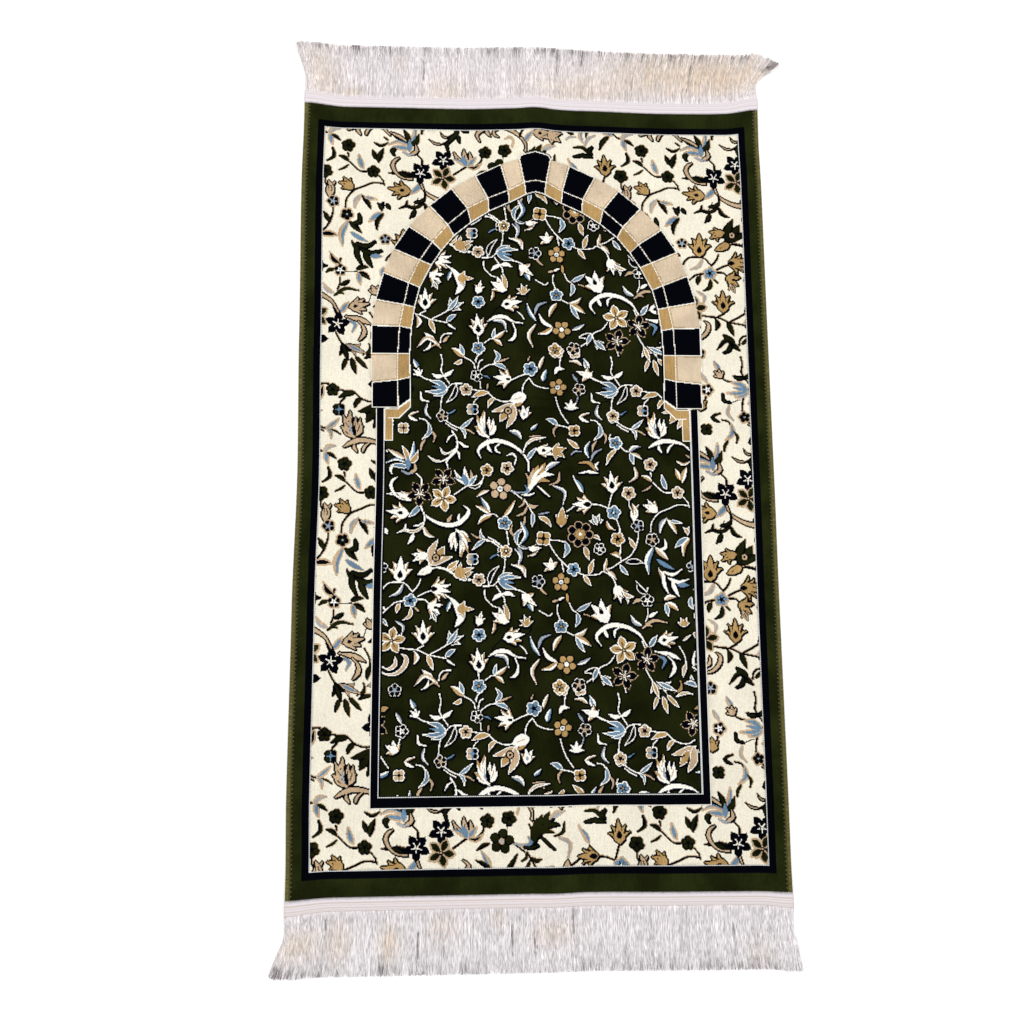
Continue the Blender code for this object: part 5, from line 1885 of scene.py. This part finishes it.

# where the yarn is tinted, or darkened with painted shade: end, x and share of the length, their
# half-spreads, and how much
Tint = namedtuple("Tint", "end x share half_width half_share amount")
WARM_TINTS = [
    Tint(1, -313, 0.40, 24, 0.60, 0.55),
    Tint(1, -272, 0.08, 20, 0.12, 0.55),
    Tint(1, -201, 0.68, 9, 0.14, 0.40),
    Tint(1, -130, 0.15, 36, 0.30, 0.45),
    Tint(1, 60, 0.20, 75, 0.35, 0.50),
    Tint(1, 190, 0.60, 85, 0.50, 0.75),
    Tint(1, 300, 0.55, 75, 0.45, 0.85),
    Tint(1, 265, 0.00, 90, 0.10, -1.0),
    Tint(-1, -318, 0.50, 26, 0.26, 0.75),
    Tint(-1, -268, 0.50, 16, 0.34, 0.60),
    Tint(-1, -202, 0.52, 13, 0.28, 0.90),
    Tint(-1, -130, 0.28, 22, 0.22, 0.45),
    Tint(-1, -58, 0.14, 10, 0.18, 0.50),
    Tint(-1, 14, 0.42, 26, 0.20, 0.60),
    Tint(-1, 292, 0.78, 18, 0.26, 0.35),
]
# painted shade where the fringe's locks part
SHADED_GAPS = [
    Tint(1, -307, 0.97, 2.4, 0.05, 1.0),
    Tint(1, -267, 0.98, 3.0, 0.05, 1.2),
    Tint(1, -165, 0.55, 1.8, 0.14, 0.6),
    Tint(1, 36, 0.78, 1.2, 0.24, 1.0),
    Tint(1, 71, 0.82, 1.2, 0.08, 1.2),
    Tint(1, 96, 0.92, 1.5, 0.09, 1.2),
    Tint(1, 150, 0.50, 1.2, 0.20, 0.8),
    Tint(1, 236, 0.62, 1.2, 0.24, 0.9),
    Tint(1, 338, 0.88, 4.2, 0.14, 0.9),
    Tint(-1, -334, 0.94, 4.2, 0.10, 0.8),
    Tint(-1, -286, 0.27, 1.1, 0.07, 1.6),
    Tint(-1, -212, 0.90, 3.6, 0.10, 1.0),
    Tint(-1, -165, 0.65, 1.2, 0.22, 1.2),
    Tint(-1, -130, 0.64, 0.9, 0.08, 1.2),
    Tint(-1, -40, 0.44, 1.2, 0.17, 1.5),
    Tint(-1, -9, 0.56, 1.8, 0.09, 1.6),
    Tint(-1, 42, 0.25, 0.9, 0.14, 1.0),
    Tint(-1, 112, 0.78, 1.5, 0.14, 0.8),
    Tint(-1, 258, 0.40, 1.1, 0.09, 1.4),
]


def tinted(tints, end, x, share, edge):
    """How much of a tint or of painted shade each place on each strand has; a higher edge ends it more
    abruptly.
    """
    total = np.zeros((len(x), len(share)))
    for tint in tints:
        if tint.end == end:
            aside = (x[:, None] / MM - tint.x) / tint.half_width
            lengthwise = (share - tint.share) / tint.half_share
            total += tint.amount * np.exp(-np.abs(aside) ** edge - np.abs(lengthwise) ** edge)
    return total


def strand_paths(end, x, length, seed):
    """The lie of strands that leave the tape at x: out, fanning, and down onto the floor."""
    random = np.random.default_rng(seed)
    lean = np.radians(eased(FAN, 1 if end > 0 else 2, x / MM))
    lean = lean + np.radians(random.normal(0.0, LEAN_SPREAD, len(x)))
    length = length * (1.0 - LEANING_LOSS * np.sin(lean) ** 2)
    root = tape_points(end, x, FRINGE_ROOT, 0.0)
    share = np.linspace(0.0, 1.0, FRINGE_STEPS)
    middle = (share[:-1] + share[1:]) / 2
    turn = smooth((middle - FAN_STARTS_AT) / (FAN_FULL_AT - FAN_STARTS_AT))
    angle = lean[:, None] * turn
    step = length[:, None] / (FRINGE_STEPS - 1)
    start = np.zeros((len(x), 1))
    away_x = np.concatenate([start, np.cumsum(np.sin(angle) * step, 1)], 1)
    away_y = np.concatenate([start, np.cumsum(np.cos(angle) * step, 1)], 1)
    return root[:, None, 0] + away_x, root[:, None, 1] + end * away_y, share


def fringe_guides(name, end, count, radius, seed):
    """Strands that start side by side and gather into loose locks towards their tips."""
    random = np.random.default_rng(seed)

    def drawn(low, high):
        """A number for each strand."""
        return random.uniform(low, high, (count, 1))

    reach = HALF_WIDTH - ROOT_INSET
    corner = reach - random.uniform(0.0, END_REACH, END_STRANDS)
    x = np.concatenate([np.linspace(-reach, reach, count - 2 * END_STRANDS), corner, -corner])
    x = np.clip(x + random.normal(0.0, ROOT_SPREAD, count), -reach, reach)
    locks = np.cumsum(random.uniform(*LOCK_WIDTHS, LOCKS)) * MM - HALF_WIDTH
    lock = locks[np.abs(x[:, None] - locks).argmin(1)]
    full = FRINGE_LENGTH + TAPE_WIDTH - FRINGE_ROOT
    length = full * (FRINGE_REACH[end] - SHORTEST * random.uniform(0.0, 1.0, count) ** 2)

    path_x, path_y, share = strand_paths(end, x, length, seed + 1)
    lock_x, _lock_y, _share = strand_paths(end, lock, length, seed + 1)
    pull = drawn(0.0, LOCK_PULL) * smooth((share - LOCKED_FROM) / (1.0 - LOCKED_FROM))
    path_x = path_x + (lock_x - path_x) * pull
    wave = np.sin(share * drawn(*WAVES) + drawn(0.0, FULL_TURN))
    path_x = path_x + wave * share * drawn(*WAVE_DEPTHS) * MM

    root_height = drawn(*ROOT_HEIGHTS) * MM
    resting = radius + drawn(0.0, REST_HEIGHT) * MM
    landed = smooth(share / FRINGE_LANDS_AT)
    height = root_height + (resting - root_height) * landed
    floor = lift_at(path_x, path_y) * (1.0 - landed)
    lines = np.stack([path_x, path_y, np.maximum(floor + height, radius)], -1)

    bundle = ((x + HALF_WIDTH) / BUNDLE_WIDTH).astype(int)
    bundle[-2 * END_STRANDS:] = random.integers(0, BUNDLES, 2 * END_STRANDS)
    own, tipped = np.split(random.uniform(0.0, 1.0, (BUNDLES, 2))[bundle], 2, 1)
    own = 0.5 * own + 0.5 * drawn(0.0, 1.0)
    # painted shade: darker tips on some bundles, and darker strands where the locks part
    tips = (tipped < SHADED_TIPS) * smooth((share - TIP_FROM) / TIP_EASE)
    gaps = tinted(SHADED_GAPS, end, x, share, 4) * drawn(0.0, 1.0)
    tone = own - (TIP_SHADE * tips + GAP_SHADE * gaps)
    warm = np.clip(tinted(WARM_TINTS, end, x, share, 2), 0.0, 1.0) * drawn(*WARM_SPREAD)
    return guide_lines(name, lines, tone=tone, shade=warm)


# --- stage -----------------------------------------------------------------------------------
Camera = namedtuple("Camera", "place right up back lens sensor")
PHOTO_CAMERA = Camera(
    place=(-0.10973, -0.29237, 1.52367),
    right=(0.998856, -0.007218, 0.047272),
    up=(-0.000407, 0.987225, 0.159330),
    back=(-0.047818, -0.159167, 0.986093),
    lens=38.32,
    sensor=36.0,
)


def make_camera():
    data = bpy.data.cameras.new("Photo camera")
    data.lens, data.sensor_width = PHOTO_CAMERA.lens, PHOTO_CAMERA.sensor
    data.clip_start, data.clip_end = 0.05, 50.0
    camera = bpy.data.objects.new("Photo camera", data)
    columns = (PHOTO_CAMERA.right, PHOTO_CAMERA.up, PHOTO_CAMERA.back, PHOTO_CAMERA.place)
    rows = [[column[row] for column in columns] for row in range(3)]
    camera.matrix_world = Matrix(rows + [[0.0, 0.0, 0.0, 1.0]])
    bpy.context.scene.collection.objects.link(camera)
    bpy.context.scene.camera = camera


def add_light(name, place, size, power, aim=(0.0, 0.0, 0.0)):
    data = bpy.data.lights.new(name, "AREA")
    data.energy, data.size = power, size
    lamp = bpy.data.objects.new(name, data)
    lamp.location = place
    way = Vector(aim) - Vector(place)
    lamp.rotation_euler = way.to_track_quat("-Z", "Y").to_euler()
    bpy.context.scene.collection.objects.link(lamp)


FLOOR_HALF, FLOOR_CELLS = 4.0, 8
FLOOR_TONES = (0.995, 1.005)
FLOOR_ROUGHNESS = 0.9
FLOOR_GLOW = 0.1             # keeps the floor's far corners as white as a studio's


def make_floor(color):
    material = new_material("Pale floor", specular=0.1)
    nodes = material.node_tree
    place = add_node(nodes, "ShaderNodeTexCoord").outputs["Object"]
    cloud = noise(nodes, place, 3.0, 2.0)
    dress(material, {
        "Base Color": shade(nodes, color, remap(nodes, cloud, *FLOOR_TONES)),
        "Roughness": FLOOR_ROUGHNESS, "Emission Strength": FLOOR_GLOW,
    })
    edge = np.linspace(-FLOOR_HALF, FLOOR_HALF, FLOOR_CELLS + 1)
    x, y = np.meshgrid(edge, edge)
    points = np.stack([x.ravel(), y.ravel(), np.zeros(x.size)], -1)
    row = len(edge)
    faces = [
        [corner, corner + 1, corner + row + 1, corner + row]
        for corner in range(row * FLOOR_CELLS) if corner % row < FLOOR_CELLS
    ]
    return add_piece("Floor", points, faces, [material])


# --- what a user may change ------------------------------------------------------------------
def color_setting(name, description, color):
    return FloatVectorProperty(
        name=name, description=description, subtype="COLOR", size=3, min=0.0, max=1.0,
        default=linear(*color),
    )


def tone_setting(name, description, default):
    return FloatProperty(
        name=name, description=description, default=default, min=0.0, max=1.0, subtype="FACTOR",
    )


def size_setting(name, description, millimetres):
    return FloatProperty(
        name=name, description=description, default=millimetres * MM, min=0.0, precision=5,
        subtype="DISTANCE", unit="LENGTH",
    )


class PileSettings(bpy.types.PropertyGroup):
    green: color_setting("Field green", "Yarn of the field's ground", (27, 30, 8))
    black: color_setting("Navy black", "Yarn of bands, outlines and dark petals", (3, 4, 10))
    white: color_setting("White", "Yarn of vines, curls and lotuses in the field", (253, 250, 240))
    cream: color_setting("Cream", "Yarn of the border's ground", (244, 237, 217))
    gold: color_setting("Gold", "Yarn of golden leaves and arch blocks", (181, 147, 95))
    beige: color_setting("Beige", "Yarn of pale brown leaves and curls", (197, 170, 137))
    sand: color_setting("Sand", "Yarn of the arch's pale blocks", (218, 197, 169))
    blue: color_setting("Blue", "Yarn of blue flowers", (106, 137, 163))
    grey: color_setting("Grey", "Yarn of shaded leaves", (154, 164, 176))
    margin: color_setting("Margin green", "Yarn of the plain margin", (33, 38, 13))
    knot_tone: tone_setting("Knot tone", "How much single knots differ in tone", 0.16)
    # painted sheen: how much the patches of brushed nap differ in tone
    patch_tone: tone_setting("Patch tone", "How much brushed patches differ in tone", 0.10)
    streak_tone: tone_setting("Streak tone", "How strong the lengthwise streaks are", 0.12)
    beat_tone: tone_setting("Checked tone", "How much the sand yarn's knots alternate", 0.24)


class EdgeSettings(bpy.types.PropertyGroup):
    olive: color_setting("Overcasting", "Yarn of the overcast sides", (122, 116, 54))
    tape: color_setting("Heading", "Thread of the heading tapes", (235, 227, 231))
    # colours of the painted shade in the heading tapes' grooves
    groove_top: color_setting("Top grooves", "Grooves of the top heading", (206, 196, 196))
    groove_bottom: color_setting("Bottom grooves", "Grooves of the bottom heading", (208, 186, 166))
    stitch_tone: color_setting("Side stitches", "Stitches beside the pile", (104, 108, 68))
    yarn: size_setting("Overcasting yarn", "Half the overcasting yarn's thickness", 0.75)
    pitch: size_setting("Overcasting pitch", "Distance from turn to turn", 1.9)
    stitch: size_setting("Heading stitch", "Distance from scallop to scallop", 2.3)


class FringeSettings(bpy.types.PropertyGroup):
    top: color_setting("Top fringe", "Yarn of the top fringe", (252, 245, 246))
    bottom: color_setting("Bottom fringe", "Yarn of the bottom fringe", (252, 246, 248))
    shade: color_setting("Tint", "Tone where the fringe is tinted", (238, 214, 184))
    strand: size_setting("Strand", "Half a strand's thickness at its root", 0.43)
    count: IntProperty(
        name="Strands", description="Strands at each end", default=2900, min=300, max=3000,
    )
    seed: IntProperty(name="Seed", description="Varies how the strands lie", default=21, min=0)


class StageSettings(bpy.types.PropertyGroup):
    floor: color_setting("Floor", "Colour of the plain floor", (255, 255, 255))
    sky: FloatProperty(
        name="Soft light", description="Strength of the even light", default=0.60, min=0.0,
    )
    lamp: FloatProperty(
        name="Lamp", description="Power of the large lamp", default=48.5, min=0.0,
        subtype="POWER", unit="POWER",
    )


# --- operators -------------------------------------------------------------------------------
SIDE_SPREAD, CORE_SPREAD, TAPE_SPREAD, FRINGE_SPREAD = 0.25, 0.1, 0.12, 0.20
# the overcasting's core is its olive yarn darkened by this factor: painted shade in the gap between the
# turns and the pile
CORE_SHADE = 0.35
TAPE_SHEEN = 0.2
FRINGE_SHEEN = {"top": 0.4, "bottom": 0.9}
FRINGE_FLECKS = {"top": 1.4, "bottom": 2.0}
SEAM_RADIUS = 0.5 * MM
STRAND_TAPER = 0.7
LAMP_PLACE, LAMP_SIZE = (-0.1, 0.45, 2.7), 2.2


def shared_tree(name, make):
    """A node tree that several pieces use, made once."""
    return bpy.data.node_groups.get(name) or make()


def put_on(piece, slot, *nodes):
    """Put a finished piece on the root and hide what it replaces; its slot is not used."""
    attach(piece, "root")
    if nodes:
        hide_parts(*nodes)


class MakeBody(bpy.types.Operator):
    """Make the ground weave and the knotted pile with its design"""
    bl_idname = "prayer_rug.make_body"
    bl_label = "Body and pile"

    def execute(self, context):
        settings = context.scene.prayer_rug_pile
        knots = shared_tree("Cut knots", knot_group)
        yarns = [pile_material(name, settings, knots) for name in YARNS]
        slab = make_slab(slab_material())
        put_on(slab, "pile", "rug")
        canvas, zones = draw_rug()
        blocks = {name: knot_blocks(canvas.yarn, zone) for name, zone in zones.items()}
        marks = np.zeros((len(canvas.row_edges), len(canvas.column_edges)), bool)
        for rectangles in blocks.values():
            table = np.array(rectangles)
            for row in (0, 1):
                for column in (2, 3):
                    marks[table[:, row], table[:, column]] = True
        for name, rectangles in blocks.items():
            points, faces, slots, places = pile_mesh(canvas, rectangles, marks)
            points, faces, slots, weave = with_skirt(points, faces, slots, canvas, places)
            piece = add_piece(name, points, faces, yarns, slots)
            add_uv(piece, "Weave", weave)
            put_on(piece, "pile")
        return {"FINISHED"}


class MakeSides(bpy.types.Operator):
    """Make the overcast sides, turn by turn"""
    bl_idname = "prayer_rug.make_sides"
    bl_label = "Overcast sides"

    def execute(self, context):
        settings = context.scene.prayer_rug_edge
        spun = shared_tree("Spun yarn", spun_group)
        tree = shared_tree("Yarn on guides", yarn_tree)
        olive, stitch = tuple(settings.olive), tuple(settings.stitch_tone)
        # painted shade: the core is a darkened copy of the olive yarn
        dark = [CORE_SHADE * part for part in olive]
        material = spun_material("Overcasting yarn", olive, stitch, spun, SIDE_SPREAD)
        core = spun_material("Overcasting core", dark, olive, spun, CORE_SPREAD)
        for side, label in ((-1.0, "left"), (1.0, "right")):
            node = "side_binding_" + label
            base = make_side_core("side_core_" + label, side, core)
            put_on(base, "overcasting", node)
            guides = overcast_guides("turns_" + label, side, settings.pitch, settings.yarn)
            turns = grow("side_turns_" + label, guides, tree, material, {
                "Radius": settings.yarn, "Tip Radius": settings.yarn, "Unevenness": 0.08,
                "Twist": 0.0, "Seed": 3,
            })
            put_on(turns, "overcasting", node)
        return {"FINISHED"}


class MakeHeadings(bpy.types.Operator):
    """Make the heading tapes and the stitches along their sewn edges"""
    bl_idname = "prayer_rug.make_headings"
    bl_label = "Headings"

    def execute(self, context):
        settings = context.scene.prayer_rug_edge
        spun = shared_tree("Spun yarn", spun_group)
        tree = shared_tree("Yarn on guides", yarn_tree)
        tape = tuple(settings.tape)
        for end, label in ((1.0, "top"), (-1.0, "bottom")):
            # the second colour is the painted shade in the tape's grooves
            groove = tuple(getattr(settings, "groove_" + label))
            material = spun_material(
                "Heading thread " + label, tape, groove, spun, TAPE_SPREAD, sheen=TAPE_SHEEN)
            piece = make_tape("heading_" + label, end, material)
            put_on(piece, "fringe", "fringe_" + label)
            guides = seam_guides("seam_" + label, end, settings.stitch)
            seam = grow("heading_seam_" + label, guides, tree, material, {
                "Radius": SEAM_RADIUS, "Tip Radius": SEAM_RADIUS, "Unevenness": 0.1,
                "Twist": 0.0, "Seed": 5,
            })
            put_on(seam, "fringe")
        return {"FINISHED"}


class MakeFringe(bpy.types.Operator):
    """Make the fringe, strand by strand"""
    bl_idname = "prayer_rug.make_fringe"
    bl_label = "Fringe"

    def execute(self, context):
        settings = context.scene.prayer_rug_fringe
        spun = shared_tree("Spun yarn", spun_group)
        tree = shared_tree("Yarn on guides", yarn_tree)
        for end, label in ((1.0, "top"), (-1.0, "bottom")):
            color = tuple(getattr(settings, label))
            material = spun_material(
                "Fringe yarn " + label, color, tuple(settings.shade), spun, FRINGE_SPREAD,
                sheen=FRINGE_SHEEN[label], flecks=FRINGE_FLECKS[label])
            guides = fringe_guides(
                "strands_" + label, end, settings.count, settings.strand,
                settings.seed + (label == "top"))
            piece = grow("fringe_strands_" + label, guides, tree, material, {
                "Radius": settings.strand, "Tip Radius": STRAND_TAPER * settings.strand,
                "Unevenness": 0.06, "Twist": 1.2, "Seed": settings.seed,
            })
            put_on(piece, "fringe", "fringe_" + label)
        return {"FINISHED"}


class MakeStage(bpy.types.Operator):
    """Make the plain floor, the soft light and the camera"""
    bl_idname = "prayer_rug.make_stage"
    bl_label = "Stage"

    def execute(self, context):
        settings = context.scene.prayer_rug_stage
        make_camera()
        make_floor(tuple(settings.floor))
        world = bpy.data.worlds.new("Soft light")
        world.use_nodes = True
        set_inputs(world.node_tree, world.node_tree.nodes["Background"], {
            "Color": (1.0, 1.0, 1.0, 1.0), "Strength": settings.sky,
        })
        context.scene.world = world
        add_light("Lamp", LAMP_PLACE, LAMP_SIZE, settings.lamp)
        context.scene.view_settings.view_transform = "Standard"
        return {"FINISHED"}


class PrayerRugPanel(bpy.types.Panel):
    """Sizes and colours of the prayer rug, and what makes its pieces"""
    bl_idname = "VIEW3D_PT_prayer_rug"
    bl_label = "Prayer Rug"
    bl_space_type = "VIEW_3D"
    bl_region_type = "UI"
    bl_category = "Prayer Rug"

    def draw(self, context):
        for group, operators in PANEL_LAYOUT:
            box = self.layout.box()
            settings = getattr(context.scene, group)
            for name in settings.__annotations__:
                box.prop(settings, name)
            for operator in operators:
                box.operator(operator.bl_idname)


PANEL_LAYOUT = [
    ("prayer_rug_pile", [MakeBody]),
    ("prayer_rug_edge", [MakeSides, MakeHeadings]),
    ("prayer_rug_fringe", [MakeFringe]),
    ("prayer_rug_stage", [MakeStage]),
]
GROUPS = {
    "prayer_rug_pile": PileSettings,
    "prayer_rug_edge": EdgeSettings,
    "prayer_rug_fringe": FringeSettings,
    "prayer_rug_stage": StageSettings,
}
CLASSES = [*GROUPS.values(), MakeBody, MakeSides, MakeHeadings, MakeFringe, MakeStage, PrayerRugPanel]


def register():
    for cls in CLASSES:
        bpy.utils.register_class(cls)
    for name, group in GROUPS.items():
        setattr(bpy.types.Scene, name, PointerProperty(type=group))


def unregister():
    for name in GROUPS:
        delattr(bpy.types.Scene, name)
    for cls in reversed(CLASSES):
        bpy.utils.unregister_class(cls)


def main():
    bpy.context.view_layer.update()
    register()
    bpy.ops.prayer_rug.make_stage()
    bpy.ops.prayer_rug.make_body()
    bpy.ops.prayer_rug.make_sides()
    bpy.ops.prayer_rug.make_headings()
    bpy.ops.prayer_rug.make_fringe()


if __name__ == "__main__":
    main()
